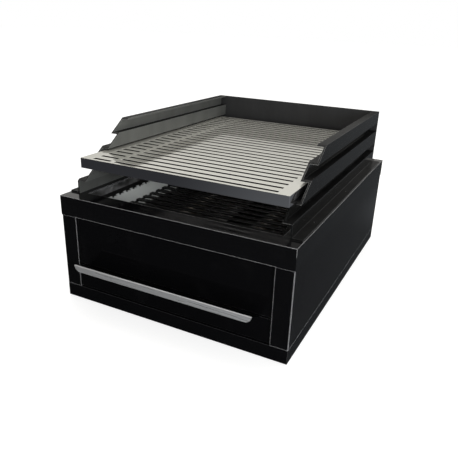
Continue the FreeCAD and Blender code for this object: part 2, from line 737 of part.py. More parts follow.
def make_knob(hand, x):
    """A round knob with a raised grip bar across its face."""
    start = end_face + s.knob_gap
    disc = rod("knob_disc", "y", (x, start, burner_axis), s.knob_radius, s.knob_depth / 2)
    grip = block("knob_grip", (x - s.grip_width / 2, x + s.grip_width / 2), (start, start + s.knob_depth),
                 (burner_axis - s.grip_length / 2, burner_axis + s.grip_length / 2))
    bore = rod("knob_bore", "y", (x, start - 1, burner_axis), s.stem_radius + s.stem_play,
               s.knob_depth / 2 + s.stem_play + 1)
    keep(f"knob_{hand}", cut("knob", fuse("knob_fuse", [disc, grip]), [bore]))


def make_igniter():
    """A push-button igniter through the back panel."""
    x = s.igniter_offset
    z = burner_axis
    start = panel_inner - s.igniter_depth
    mouth = end_face + s.igniter_collar
    barrel = rod("igniter_barrel", "y", (x, start, z), s.igniter_radius, mouth - start)
    ring = rod("igniter_ring", "y", (x, end_face, z), s.igniter_radius + s.igniter_collar, s.igniter_collar)
    seat = mouth - s.igniter_well
    bore = rod("igniter_bore", "y", (x, seat, z), s.button_radius + s.stem_play, s.igniter_well + 1)
    keep("igniter_body", cut("igniter", fuse("igniter_fuse", [barrel, ring]), [bore]))
    button_start = seat + s.button_travel + s.valve_end_gap
    button_end = mouth + s.button_proud
    button = rod("button", "y", (x, button_start, z), s.button_radius, button_end - button_start)
    keep("igniter_button", button)
    bracket = block("bracket", (x - s.igniter_radius, x + s.igniter_radius),
                    (start + s.skin, start + s.skin * 2), (z, cover_under))
    clearance = rod("bracket_clear", "y", (x, start, z), s.igniter_radius + s.stem_play, s.igniter_depth)
    keep("igniter_bracket", cut("igniter_bracket_cut", bracket, [clearance]))


def make_rack():
    """Folded side walls with two inward rungs each, a raked front, and a back wall."""
    outer = rack_outer
    inner = rack_outer - s.plate
    rung = inner - s.rung_depth
    shelf = rung + s.plate
    for hand, side in SIDES.items():
        inside = [(inner, s.base_height)]
        outside = []
        for index in range(RUNGS):
            low = s.base_height + s.rung_first + index * s.rung_pitch
            high = low + s.rung_height
            inside += [(inner, low), (rung, low), (rung, high), (inner, high)]
            outside += [(outer, low + s.plate), (shelf, low + s.plate), (shelf, high - s.plate),
                        (outer, high - s.plate)]
        inside += [(inner, rack_top - s.plate), (inner - s.rack_top_flange, rack_top - s.plate),
                   (inner - s.rack_top_flange, rack_top), (outer, rack_top)]
        foot = [(outer, s.base_height + s.plate), (outer + s.rack_foot_flange, s.base_height + s.plate),
                (outer + s.rack_foot_flange, s.base_height)]
        points = [(side * x, z) for x, z in inside + outside[::-1] + foot]
        wall = rail(f"rack_fold_{hand}", "XZ_Plane", points, rack_back, rack_back - front - s.rack_front)
        low = s.base_height + s.rung_first
        slope = (s.rack_rake_end - s.rack_rake_start) / (rack_height - s.rung_first)
        top_y = front + s.rack_rake_end + slope
        waste = [
            (front - 20, low),
            (front + s.rack_rake_start, low),
            (top_y, rack_top + 1),
            (front - 20, rack_top + 1),
        ]
        rake = rail(f"rack_rake_{hand}", "YZ_Plane", waste, -half_width, s.base_width)
        cuts = [rake]
        for x, y in rack_screw_places()[:6]:
            if number(x) * side > 0:
                spot = (x, y, s.base_height - 1)
                cuts.append(rod("rack_hole", "z", spot, s.screw_radius + s.screw_hole_play, s.plate + 2))
        keep(f"rack_wall_{hand}", cut("rack_wall", wall, cuts))
    wall = block("back_wall", (-outer, outer), (rack_back, rack_back + s.plate), (s.base_height, rack_top))
    foot_y = (rack_back + s.plate, rack_back + s.plate + s.rack_foot_flange)
    flange = block("back_flange", (-outer, outer), foot_y, (s.base_height, s.base_height + s.plate))
    cuts = []
    for x, y in rack_screw_places()[6:]:
        cuts.append(rod("back_hole", "z", (x, y, s.base_height - 1), s.screw_radius + s.screw_hole_play,
                        s.plate + 2))
    keep("rack_wall_back", cut("rack_back_cut", fuse("rack_back_fuse", [wall, flange]), cuts))
    screws = []
    for x, y in rack_screw_places():
        shank = rod("rack_shank", "z", (x, y, cover_under - 1), s.screw_radius, s.skin + s.plate)
        head = rod("rack_head", "z", (x, y, cover_under - s.screw_head), s.screw_head_radius, s.screw_head)
        screws.append(fuse("rack_screw", [shank, head]))
    keep("rack_screws", group("rack_screw_set", screws))


def slot_field(body, name, middle_y, low, count):
    """A row of slots, each a short and a long cut either side of the bridge."""
    bridge = -grate_edge + s.bridge_offset
    lines = (middle_y - s.slot_width / 2, middle_y + s.slot_width / 2)
    spans = [
        (-grate_edge + s.slot_margin, bridge - s.bridge_width / 2),
        (bridge + s.bridge_width / 2, grate_edge - s.slot_margin),
    ]
    loops = []
    for first, last in spans:
        loops.append([(first, lines[0]), (last, lines[0]), (last, lines[1]), (first, lines[1])])
    sketch = outline(body, "XY_Plane", loops, low - 1)
    pocket = body.newObject("PartDesign::Pocket", name)
    pocket.Profile = sketch
    pocket.Type = 0
    pocket.Reversed = True
    bind(pocket, "Length", s.grate_height + 2)
    body.Tip = pocket
    doc.recompute()
    pattern = body.newObject("PartDesign::LinearPattern", name + "_row")
    pattern.Originals = [pocket]
    along = next(item for item in body.Origin.OriginFeatures if item.Role == "Y_Axis")
    pattern.Direction = (along, [""])
    bind(pattern, "Length", s.slot_pitch * (count - 1))
    pattern.Occurrences = count
    body.Tip = pattern
    doc.recompute()


def make_grate():
    """The slotted grate: a sheet with folded edges that slides on the rack's rungs."""
    low = s.base_height + s.rung_first + s.rung_height + s.grate_play
    start = front + s.grate_front
    end = start + s.grate_length
    body = doc.addObject("PartDesign::Body", "grate_body")
    outer = outline(body, "XY_Plane", [[(-grate_edge, start), (grate_edge, start), (grate_edge, end),
                                        (-grate_edge, end)]], low)
    pad = body.newObject("PartDesign::Pad", "grate_pad")
    pad.Profile = outer
    bind(pad, "Length", s.grate_height)
    body.Tip = pad
    doc.recompute()
    inner = grate_edge - s.grate_sheet
    hollow = outline(body, "XY_Plane", [[(-inner, start + s.grate_sheet), (inner, start + s.grate_sheet),
                                         (inner, end - s.grate_sheet), (-inner, end - s.grate_sheet)]], low)
    pocket = body.newObject("PartDesign::Pocket", "grate_hollow")
    pocket.Profile = hollow
    pocket.Reversed = True
    bind(pocket, "Length", s.grate_height - s.grate_sheet)
    body.Tip = pocket
    doc.recompute()
    first = start + s.slot_first
    slots = int(number(s.grate_length - s.slot_first * 2 - s.band_extra) // number(s.slot_pitch)) + 1
    front_slots = round(slots * number(s.band_share))
    slot_field(body, "front_slots", first, low, front_slots)
    second = first + s.slot_pitch * front_slots + s.band_extra
    slot_field(body, "rear_slots", second, low, slots - front_slots)
    keep("grate", body)


def check_document():
    """Stop if any object failed or any sub-part has no valid shape."""
    doc.recompute()
    for thing in doc.Objects:
        bad = [state for state in thing.State if state in ("Invalid", "Error")]
        if bad:
            raise RuntimeError(f"{thing.Label} is {bad}")
    for thing in nodes:
        if thing.Shape.isNull() or not thing.Shape.isValid():
            raise RuntimeError(f"{thing.Label} has no valid shape")


def export_nodes():
    """Write each sub-part to its own file."""
    os.makedirs("parts", exist_ok=True)
    for thing in nodes:
        thing.Shape.exportStep(os.path.join("parts", thing.Label + ".step"))
        box = thing.Shape.BoundBox
        print(f"{thing.Label}: {len(thing.Shape.Solids)} solid, volume {thing.Shape.Volume:.0f}, "
              f"z {box.ZMin:.1f} to {box.ZMax:.1f}")


make_plinth()
make_sides()
make_front_frame()
make_cover()
make_back_panel()
make_drawer()
make_firebox()
make_combs()
make_deflectors()
make_flame_guard()
make_burners()
make_gas_train()
make_igniter()
make_rack()
make_grate()
check_document()
export_nodes()
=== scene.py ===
"""Finishes and fine shapes of a table-top gas grill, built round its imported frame.

Metres throughout. X runs to the right, Y to the back, Z up. The cabinet stands on the ground at z = 0.
"""

import json
import logging
import math
from contextlib import contextmanager
from dataclasses import dataclass
from enum import Enum
from functools import cache
from typing import Iterator, Sequence

import bmesh
import bpy
from mathutils import Matrix, Vector


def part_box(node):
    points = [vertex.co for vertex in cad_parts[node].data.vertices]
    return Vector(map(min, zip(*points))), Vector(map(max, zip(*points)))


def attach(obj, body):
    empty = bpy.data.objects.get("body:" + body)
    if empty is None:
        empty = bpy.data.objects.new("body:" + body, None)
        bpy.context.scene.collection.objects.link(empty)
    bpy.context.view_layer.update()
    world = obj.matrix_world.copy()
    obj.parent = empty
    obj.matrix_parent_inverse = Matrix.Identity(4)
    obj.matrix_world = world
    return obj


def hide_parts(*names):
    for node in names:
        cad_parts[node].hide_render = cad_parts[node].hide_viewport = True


logging.basicConfig(level=logging.INFO, format="%(name)s: %(message)s")
log = logging.getLogger("gas_grill")

Piece = bpy.types.Object
MM = 0.001
SOFT_STEP = 2 * MM
WELD_GAP = 0.005 * MM
FLAT_ANGLE = 0.5
SMOOTH_ANGLE = 35.0
TURNED_ANGLE = 30.0
SHEET_ANGLE = 40.0
FOLD_ANGLE = 50.0
NUT_ANGLE = 25.0
ALONG = 0.99
WHITE = (1.0, 1.0, 1.0)
BACK, DOWN = Vector((0, 1, 0)), Vector((0, 0, -1))

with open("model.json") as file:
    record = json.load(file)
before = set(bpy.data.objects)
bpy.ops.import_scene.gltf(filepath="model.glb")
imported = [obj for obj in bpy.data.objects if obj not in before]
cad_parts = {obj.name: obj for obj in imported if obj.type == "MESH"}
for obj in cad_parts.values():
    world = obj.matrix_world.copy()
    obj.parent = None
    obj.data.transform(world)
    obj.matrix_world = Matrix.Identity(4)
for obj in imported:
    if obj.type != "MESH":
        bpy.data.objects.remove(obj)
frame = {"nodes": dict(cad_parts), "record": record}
bpy.ops.object.select_all(action="DESELECT")
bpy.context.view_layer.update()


class Axis(Enum):
    """The three directions of the grill."""

    X = 0
    Y = 1
    Z = 2


class Socket:
    """A shader socket that takes part in Python arithmetic."""

    def __init__(self, graph: "Graph", output: bpy.types.NodeSocket) -> None:
        """Wrap one output of a node in a graph."""
        self.graph = graph
        self.output = output

    def _combine(self, operation: str, first: object, second: object) -> "Socket":
        """Add a Math node for two values or sockets."""
        return self.graph.add("ShaderNodeMath", {"operation": operation}, {0: first, 1: second})

    def __add__(self, other: object) -> "Socket":
        """Sum."""
        return self._combine("ADD", self, other)

    def __radd__(self, other: object) -> "Socket":
        """Sum, with the socket second."""
        return self._combine("ADD", other, self)

    def __sub__(self, other: object) -> "Socket":
        """Difference."""
        return self._combine("SUBTRACT", self, other)

    def __rsub__(self, other: object) -> "Socket":
        """Difference, with the socket second."""
        return self._combine("SUBTRACT", other, self)

    def __mul__(self, other: object) -> "Socket":
        """Product."""
        return self._combine("MULTIPLY", self, other)

    def __rmul__(self, other: object) -> "Socket":
        """Product, with the socket second."""
        return self._combine("MULTIPLY", other, self)

    def ramped(self, low: float, high: float) -> "Socket":
        """Stretch low to high over 0 to 1, clamped and with soft ends."""
        settings = {"interpolation_type": "SMOOTHSTEP"}
        return self.graph.add("ShaderNodeMapRange", settings, {0: self, 1: low, 2: high})


class Graph:
    """The node graph of one material or of the room."""

    def __init__(self, owner: bpy.types.ID, coordinates: str = "Object") -> None:
        """Clear the owner's nodes.

        Args:
            owner: a new material or world.
            coordinates: the coordinates that its patterns use.
        """
        owner.use_nodes = True
        self.tree = owner.node_tree
        self.tree.nodes.clear()
        self.place = self.add("ShaderNodeTexCoord", {}, {}, coordinates)

    def add(self, kind: str, settings: dict, inputs: dict, result: object = 0) -> Socket:
        """Add any node.

        Args:
            kind: the node's type.
            settings: its properties, set before its sockets.
            inputs: values, colours or sockets by input name or number.
            result: the output's name or number.

        Returns:
            The chosen output.
        """
        node = self.tree.nodes.new(kind)
        for key, value in settings.items():
            setattr(node, key, value)
        for key, value in inputs.items():
            target = node.inputs[key]
            if isinstance(value, Socket):
                self.tree.links.new(value.output, target)
            else:
                target.default_value = (*value, 1.0) if target.type == "RGBA" else value
        return Socket(self, node.outputs[result])

    def noise(self, scale: float, stretch: Sequence[float] = (1.0, 1.0, 1.0), detail: float = 3.0) -> Socket:
        """Cloudy noise over the piece.

        Args:
            scale: features per metre.
            stretch: how the noise is squeezed along each axis.
            detail: octaves.

        Returns:
            A value from 0 to 1.
        """
        mapped = self.add("ShaderNodeMapping", {}, {"Vector": self.place, "Scale": tuple(stretch)})
        inputs = {"Vector": mapped, "Scale": scale, "Detail": detail}
        return self.add("ShaderNodeTexNoise", {}, inputs, "Fac")

    def blend(self, mask: object, first: object, second: object) -> Socket:
        """Mix two colours or sockets by a mask, 0 for the first and 1 for the second."""
        return self.add("ShaderNodeMix", {"data_type": "RGBA"}, {0: mask, 6: first, 7: second}, 2)

    def along(self, axis: Axis) -> Socket:
        """The piece's coordinate along one axis, in metres."""
        return self.add("ShaderNodeSeparateXYZ", {}, {0: self.place}, axis.value)

    def edges(self, width: float = 1.2 * MM) -> Socket:
        """A mask of the strip along every edge.

        Args:
            width: how far the strip reaches.

        Returns:
            0 on open faces, rising to 1 at an edge.
        """
        settled = self.add("ShaderNodeBevel", {}, {"Radius": width}, "Normal")
        plain = self.add("ShaderNodeNewGeometry", {}, {}, "Normal")
        settings = {"operation": "DOT_PRODUCT"}
        likeness = self.add("ShaderNodeVectorMath", settings, {0: settled, 1: plain}, "Value")
        return (1.0 - likeness).ramped(0.01, 0.16)

    def facing(self, axis: Axis) -> Socket:
        """The normal's part along one axis, from -1 to 1."""
        normal = self.add("ShaderNodeNewGeometry", {}, {}, "Normal")
        return self.add("ShaderNodeSeparateXYZ", {}, {0: normal}, axis.value)

    def size_of(self, value: Socket) -> Socket:
        """A value without its sign."""
        return self.add("ShaderNodeMath", {"operation": "ABSOLUTE"}, {0: value})

    def inward(self, axis: Axis) -> Socket:
        """A mask of the faces that look at the grill's middle plane across one axis."""
        side = self.add("ShaderNodeMath", {"operation": "SIGN"}, {0: self.along(axis)})
        return (0.0 - side * self.facing(axis)).ramped(0.55, 0.85)

    def within(self, axis: Axis, reach: float) -> Socket:
        """A mask of what lies no further than a reach from the middle plane across one axis."""
        return 1.0 - self.size_of(self.along(axis)).ramped(reach, reach + SOFT_STEP)

    def seen_by(self, rays: str) -> Socket:
        """A mask of what Camera, Glossy or Transmission rays see."""
        return self.add("ShaderNodeLightPath", {}, {}, f"Is {rays} Ray")

    def mirrored(self) -> Socket:
        """A mask of what metal and glass see, as against the camera and soft light."""
        inputs = {0: self.seen_by("Glossy"), 1: self.seen_by("Transmission")}
        return self.add("ShaderNodeMath", {"operation": "MAXIMUM"}, inputs)

    def bump(self, height: Socket, depth: float) -> Socket:
        """The normal bent by a relief of 0 to 1 that is so many millimetres deep."""
        return self.add("ShaderNodeBump", {}, {"Height": height, "Distance": depth * MM}, "Normal")

    def principled(self, base: Socket, rough: object, relief: Socket, metal: object = 0.0,
                   specular: float = 0.5) -> Socket:
        """A principled shader of a colour, roughness, bent normal, metallic and specular level."""
        inputs = {"Base Color": base, "Roughness": rough, "Normal": relief, "Metallic": metal}
        return self.add("ShaderNodeBsdfPrincipled", {}, inputs | {"Specular IOR Level": specular}, "BSDF")

    def mix(self, mask: Socket, first: Socket, second: Socket) -> Socket:
        """Mix two shaders by a mask, 0 for the first and 1 for the second."""
        return self.add("ShaderNodeMixShader", {}, {0: mask, 1: first, 2: second})

    def close(self, shader: Socket, kind: str = "ShaderNodeOutputMaterial") -> None:
        """Send the last shader to an output node of a kind."""
        node = self.tree.nodes.new(kind)
        self.tree.links.new(shader.output, node.inputs["Surface"])


def scaled(colour: Sequence[float], gain: float) -> tuple:
    """A colour made lighter or darker, each channel no more than 1."""
    return tuple(min(1.0, channel * gain) for channel in colour)


@dataclass(frozen=True)
class Enamel:
    """Black stove enamel: smooth and deep, with faint orange peel, dust, wipe marks and a painted highlight
    along the edges.
    """

    colour: tuple = (0.003, 0.003, 0.0035)
    roughness: float = 0.07
    specular: float = 0.14
    peel: float = 0.004
    peel_scale: float = 420.0
    cloud_scale: float = 7.0
    wipe_scale: float = 24.0
    speck_scale: float = 900.0
    dust: float = 0.008
    # edge to bright_ahead: the painted highlight along the edges, its colour, strength, width and where it
    # shows.
    edge: tuple = (0.16, 0.16, 0.165)
    edge_amount: float = 0.4
    edge_width: float = 1.2 * MM
    bright_above: float = -1.0
    bright_within: float = 0.194
    bright_ahead: tuple = (-0.1, 0.0)

    def highlight_rims(self, graph: Graph) -> Socket:
        """The edges that carry the painted highlight: those above one height, and lower ones round the
        opening.

        Args:
            graph: the material's graph.

        Returns:
            The mask.
        """
        fade = 2 * SOFT_STEP
        lower = 1.0 - graph.along(Axis.Z).ramped(self.bright_above - fade, self.bright_above + fade)
        inside = graph.within(Axis.X, self.bright_within)
        ahead = 1.0 - graph.along(Axis.Y).ramped(*self.bright_ahead)
        return graph.edges(self.edge_width) * (1.0 - lower * (1.0 - inside * ahead))

    def fill(self, graph: Graph) -> None:
        """Build the finish.

        Args:
            graph: the material's graph.
        """
        cloud = graph.noise(self.cloud_scale)
        wipes = graph.noise(self.wipe_scale, (1.0, 0.25, 1.0), 5.0)
        specks = graph.noise(self.speck_scale, detail=1.0).ramped(0.70, 0.80)
        skin = graph.noise(self.peel_scale, detail=2.0)
        dusty = tuple(channel + self.dust for channel in self.colour)
        base = graph.blend(specks * 0.5 + wipes.ramped(0.5, 0.9) * 0.3, self.colour, dusty)
        # Painted highlight: the edges blend towards the lighter edge colour.
        lighter_edges = graph.blend(self.highlight_rims(graph) * self.edge_amount, base, self.edge)
        gloss = cloud.ramped(0.35, 0.75) * 0.05 + wipes.ramped(0.45, 0.8) * 0.05 + self.roughness
        relief = graph.bump(skin, self.peel)
        graph.close(graph.principled(lighter_edges, gloss, relief, specular=self.specular))


@dataclass(frozen=True)
class RackSteel:
    """Folded sheet: black outside, with a painted reflection that turns the faces that look inward dull grey,
    a painted highlight along the edges, and soot and painted shade on the level faces.
    """

    colour: tuple = (0.040, 0.041, 0.041)
    # inner: the painted reflection on the faces that look inward; streak_shade darkens its streaks.
    inner: tuple = (0.19, 0.195, 0.185)
    streak_shade: float = 0.82
    # edge: the colour of the painted highlight along the edges.
    edge: tuple = (0.55, 0.56, 0.56)
    edge_amount: float = 0.6
    edge_width: float = 0.9 * MM
    roughness: float = 0.08
    inner_roughness: float = 0.34
    metallic: float = 0.92
    inner_metallic: float = 0.4
    specular: float = 0.3
    inward_along: Axis = Axis.X
    grain_depth: float = 0.002
    grain_scale: float = 900.0
    streak_scale: float = 26.0
    # soot to dust_gain: soot and painted shade on the faces that look up.
    soot: tuple = (0.006, 0.006, 0.006)
    soot_roughness: float = 0.6
    soot_specular: float = 0.02
    soot_and_shade_cover: float = 0.85
    dust_gain: float = 2.2

    def fill(self, graph: Graph) -> None:
        """Build the finish.

        Args:
            graph: the material's graph.
        """
        grain = graph.noise(self.grain_scale, (1.0, 0.03, 1.0))
        streak = graph.noise(self.streak_scale, (1.0, 1.0, 0.4)).ramped(0.3, 0.75)
        inward = graph.inward(self.inward_along)
        # Painted reflection: the faces that look inward take a lighter, streaked grey.
        streaked_painted_reflection = graph.blend(streak, self.inner, scaled(self.inner, self.streak_shade))
        base = graph.blend(inward, self.colour, streaked_painted_reflection)
        edges = graph.edges(self.edge_width)
        # Painted highlight along the edges.
        edge_highlighted = graph.blend(edges * self.edge_amount, base, self.edge)
        uneven = grain * 0.05 + streak * 0.05
        gloss = uneven + inward * (self.inner_roughness - self.roughness) + self.roughness
        metal = inward * (self.inner_metallic - self.metallic) + self.metallic
        relief = graph.bump(grain, self.grain_depth)
        bare = graph.principled(edge_highlighted, gloss, relief, metal, self.specular)
        # Soot and painted shade: the faces that look up take a dark, dull shader.
        dusty = graph.blend(streak, self.soot, scaled(self.soot, self.dust_gain))
        sooty = graph.principled(dusty, self.soot_roughness, relief, specular=self.soot_specular)
        level_soot_and_shade = graph.facing(Axis.Z).ramped(0.6, 0.9) * (1.0 - edges * 0.4)
        graph.close(graph.mix(level_soot_and_shade * self.soot_and_shade_cover, bare, sooty))


@dataclass(frozen=True)
class Steel:
    """Bare steel with a brushed grain along one axis and slight stains."""

    colour: tuple
    roughness: float
    metallic: float = 1.0
    grain_along: Axis = Axis.X
    grain_depth: float = 0.002
    grain_scale: float = 700.0
    stain: tuple = (0.50, 0.46, 0.40)
    stain_scale: float = 14.0
    stain_amount: float = 0.3
    stain_detail: float = 4.0
    unevenness: float = 0.08
    edge_width: float = 0.9 * MM
    edge_amount: float = 0.6
    edge_gain: float = 1.3

    def stretch(self) -> tuple:
        """How the grain's noise is squeezed: long along the grain, fine across it."""
        return tuple(0.02 if axis is self.grain_along else 1.0 for axis in Axis)

    def tone(self, graph: Graph, stains: Socket) -> Socket:
        """The steel's colour.

        Args:
            graph: the material's graph.
            stains: a mask of stained places.

        Returns:
            The colour.
        """
        base = graph.blend(stains * self.stain_amount, self.colour, self.stain)
        # Lighter along the edges.
        lighter_edges = graph.edges(self.edge_width) * self.edge_amount
        return graph.blend(lighter_edges, base, scaled(self.colour, self.edge_gain))

    def fill(self, graph: Graph) -> None:
        """Build the finish.

        Args:
            graph: the material's graph.
        """
        grain = graph.noise(self.grain_scale, self.stretch())
        stains = graph.noise(self.stain_scale, detail=self.stain_detail).ramped(0.48, 0.8)
        gloss = grain.ramped(0.3, 0.7) * self.unevenness + stains * self.unevenness + self.roughness
        relief = graph.bump(grain, self.grain_depth)
        graph.close(graph.principled(self.tone(graph, stains), gloss, relief, self.shine(graph)))

    def shine(self, graph: Graph) -> object:
        """How far the surface is bare metal, as a value or a mask."""
        return self.metallic


@dataclass(frozen=True)
class GrateSteel(Steel):
    """Polished grate steel: a scoured top, folded edges with painted light that grows brighter to the right,
    and charring with painted shade on the walls of its slots.
    """

    half_width: float = 0.190
    front: float = -0.268
    back: float = 0.248
    # Charring and painted shade on the slot walls.
    slot_char_and_shade: tuple = (0.012, 0.010, 0.009)
    slot_char_and_shade_amount: float = 0.94
    # fold to fold_span: painted light on the folded faces, dark at the left and bright at the right.
    fold: tuple = (0.44, 0.43, 0.46)
    fold_painted_highlight: tuple = (0.95, 0.94, 0.97)
    fold_span: tuple = (-0.04, 0.20)
    scoured: float = 0.5

    def top(self, graph: Graph) -> Socket:
        """A mask of the faces that look up."""
        return graph.facing(Axis.Z).ramped(0.5, 0.9)

    def shine(self, graph: Graph) -> Socket:
        """Bare metal on the folds, with a dull film on the scoured top."""
        return self.metallic - self.top(graph) * self.scoured

    def tone(self, graph: Graph, stains: Socket) -> Socket:
        """The polished colour, with painted light on the folds and charring with painted shade down the
        slots.

        Args:
            graph: the material's graph.
            stains: a mask of stained places.

        Returns:
            The colour.
        """
        # Painted light: the folds grow lighter to the right.
        painted_light_rightward = graph.along(Axis.X).ramped(*self.fold_span)
        folds = graph.blend(painted_light_rightward, self.fold, self.fold_painted_highlight)
        plain = graph.blend(self.top(graph), folds, super().tone(graph, stains))
        # Charring and painted shade: the upright faces down the slots go near black.
        upright = 1.0 - graph.size_of(graph.facing(Axis.Z)).ramped(0.3, 0.75)
        across = graph.within(Axis.X, self.half_width)
        depth = graph.along(Axis.Y)
        beyond = depth.ramped(self.back, self.back + SOFT_STEP)
        slotted = depth.ramped(self.front - SOFT_STEP, self.front) * (1.0 - beyond)
        return graph.blend(upright * across * slotted * self.slot_char_and_shade_amount, plain, self.slot_char_and_shade)


@dataclass(frozen=True)
class PullSteel(Steel):
    """Brushed steel on the lip that the hand takes, with black painted on the sheet behind it as a painted
    dark reflection.
    """

    lip: float = -0.3325
    fade: float = 0.8 * MM
    # enamel: the black of the painted dark reflection behind the lip.
    enamel: tuple = (0.004, 0.004, 0.0045)

    def tone(self, graph: Graph, stains: Socket) -> Socket:
        """The brushed colour, painted black behind the lip as a dark reflection."""
        # Painted dark reflection: the sheet behind the lip goes black.
        behind = graph.along(Axis.Y).ramped(self.lip, self.lip + self.fade)
        return graph.blend(behind, super().tone(graph, stains), self.enamel)


@dataclass(frozen=True)
class BurntSteel:
    """Steel that the flames have tinted straw and blue, with soot."""

    colour: tuple = (0.30, 0.29, 0.28)
    straw: tuple = (0.34, 0.25, 0.14)
    blue: tuple = (0.12, 0.15, 0.24)
    black: tuple = (0.012, 0.011, 0.010)
    roughness: float = 0.35
    soot: float = 0.5
    tint: float = 0.0
    band_scale: float = 9.0
    grime_scale: float = 60.0
    grime_depth: float = 0.05

    def fill(self, graph: Graph) -> None:
        """Build the finish.

        Args:
            graph: the material's graph.
        """
        bands = graph.noise(self.band_scale, (1.0, 3.0, 1.0), 2.0)
        grime = graph.noise(self.grime_scale, detail=6.0).ramped(0.42, 0.75)
        warmed = graph.blend(bands.ramped(0.40, 0.55) * self.tint, self.colour, self.straw)
        blued = graph.blend(bands.ramped(0.58, 0.72) * self.tint, warmed, self.blue)
        sooty = graph.blend(grime * self.soot, blued, self.black)
        gloss = grime * 0.3 + self.roughness
        relief = graph.bump(grime, self.grime_depth)
        graph.close(graph.principled(sooty, gloss, relief, 0.95 - grime * 0.5))


@dataclass(frozen=True)
class Turned:
    """Turned or cast metal fittings: brass and zinc."""

    colour: tuple = (0.72, 0.53, 0.25)
    tarnish: tuple = (0.30, 0.20, 0.09)
    tarnish_amount: float = 0.45
    roughness: float = 0.25
    ring_depth: float = 0.01
    ring_scale: float = 1500.0
    film_scale: float = 90.0

    def fill(self, graph: Graph) -> None:
        """Build the finish.

        Args:
            graph: the material's graph.
        """
        film = graph.noise(self.film_scale, detail=5.0).ramped(0.45, 0.75)
        rings = graph.noise(self.ring_scale, (0.1, 1.0, 0.1), 2.0)
        base = graph.blend(film * self.tarnish_amount, self.colour, self.tarnish)
        gloss = film * 0.2 + self.roughness
        graph.close(graph.principled(base, gloss, graph.bump(rings, self.ring_depth), 1.0))


@dataclass(frozen=True)
class Moulded:
    """Moulded rubber, plastic or glazed ceramic with a fine grain."""

    colour: tuple = (0.02, 0.02, 0.021)
    roughness: float = 0.5
    specular: float = 0.45
    grain: float = 0.04
    grain_scale: float = 1600.0
    wear_scale: float = 45.0
    lighter: float = 1.8

    def fill(self, graph: Graph) -> None:
        """Build the finish.

        Args:
            graph: the material's graph.
        """
        fine = graph.noise(self.grain_scale, detail=2.0)
        wear = graph.noise(self.wear_scale, detail=4.0).ramped(0.5, 0.8)
        rubbed = wear * 0.4 + graph.edges() * 0.4
        base = graph.blend(rubbed, self.colour, scaled(self.colour, self.lighter))
        gloss = wear * 0.1 + self.roughness
        graph.close(graph.principled(base, gloss, graph.bump(fine, self.grain), specular=self.specular))


FINISHES = {
    # Every enamel has a painted highlight along its edges; on the frame and sides it is near white, and on
    # the cover it keeps to the upper edges and the opening's.
    "black_gloss_enamel": Enamel(),
    "black_enamel_edge_highlight": Enamel(edge=(0.85, 0.85, 0.88), edge_amount=0.9, edge_width=1.8 * MM),
    "black_cover_enamel": Enamel(specular=0.22, edge=(0.60, 0.60, 0.61), edge_amount=0.8,
                                 edge_width=1.5 * MM, bright_above=0.190),
    "black_fascia_enamel": Enamel(roughness=0.05, specular=0.08),
    "black_satin_enamel": Enamel(colour=(0.010, 0.010, 0.011), roughness=0.28, peel=0.02),
    "black_rack_steel": RackSteel(),
    # On the back wall the painted reflection on the faces that look inward stays dark.
    "black_back_steel": RackSteel(inner=(0.054, 0.054, 0.056), inner_roughness=0.30, inner_metallic=0.25,
                                  inward_along=Axis.Y),
    "polished_grate_steel": GrateSteel(colour=(0.56, 0.555, 0.505), roughness=0.05, stain=(0.50, 0.47, 0.40),
                                       stain_detail=2.0, grain_depth=0.0006, unevenness=0.015),
    "brushed_pull_steel": PullSteel(colour=(0.66, 0.665, 0.675), roughness=0.26, metallic=0.66,
                                    stain_amount=0.12),
    "plain_sheet_steel": Steel(colour=(0.40, 0.41, 0.42), roughness=0.34, metallic=0.9, grain_along=Axis.Y,
                               stain_amount=0.35),
    "heat_dark_steel": BurntSteel(colour=(0.40, 0.40, 0.402), roughness=0.32, soot=0.25),
    # Painted reflection: the firebox's faces that look inward are near white.
    "black_fire_enamel": RackSteel(colour=(0.020, 0.020, 0.020), inner=(0.66, 0.67, 0.65),
                                   inner_metallic=0.05),
    # Painted light: the deflector is near white and nearly bare of metal, standing in for the bright
    # reflection on it.
    "bright_deflector_steel": Steel(colour=(0.80, 0.82, 0.79), roughness=0.3, metallic=0.05,
                                    grain_along=Axis.Z, stain_amount=0.2),
    "burner_steel": BurntSteel(tint=0.3),
    "gas_brass": Turned(),
    "zinc_screw": Turned(colour=(0.62, 0.63, 0.64), tarnish=(0.40, 0.38, 0.34), roughness=0.22),
    "rubber_foot": Moulded(colour=(0.014, 0.014, 0.014), roughness=0.75, grain=0.08),
    "knob_plastic": Moulded(),
    "button_plastic": Moulded(colour=(0.42, 0.02, 0.014), roughness=0.3, grain=0.01, lighter=1.2),
    "electrode_ceramic": Moulded(colour=(0.78, 0.76, 0.70), roughness=0.2, grain=0.01, lighter=1.05),
    "pointer_paint": Moulded(colour=(0.70, 0.70, 0.68), roughness=0.45, grain=0.02, lighter=1.1),
}
NODE_FINISH = {
    "front_frame": "black_enamel_edge_highlight",
    "side_panel_left": "black_enamel_edge_highlight",
    "side_panel_right": "black_enamel_edge_highlight",
    "top_cover": "black_cover_enamel",
    "rack_wall_back": "black_back_steel",
}
NODE_SLOT = {row["node"]: row["material_slot"] for row in frame["record"]["subparts"]}
NODE_BODY = {node: body for body, nodes in frame["record"]["behaviour"]["bodies"].items() for node in nodes}


@cache
def paint(name: str) -> bpy.types.Material:
    """Build a finish, or give it again.

    Args:
        name: a key of FINISHES.

    Returns:
        Its material.
    """
    material = bpy.data.materials.new(name)
    FINISHES[name].fill(Graph(material))
    return material


def pick(piece: Piece) -> None:
    """Select one object alone and make it the active one.

    Args:
        piece: the object.
    """
    bpy.ops.object.select_all(action="DESELECT")
    bpy.context.view_layer.objects.active = piece
    piece.select_set(True)


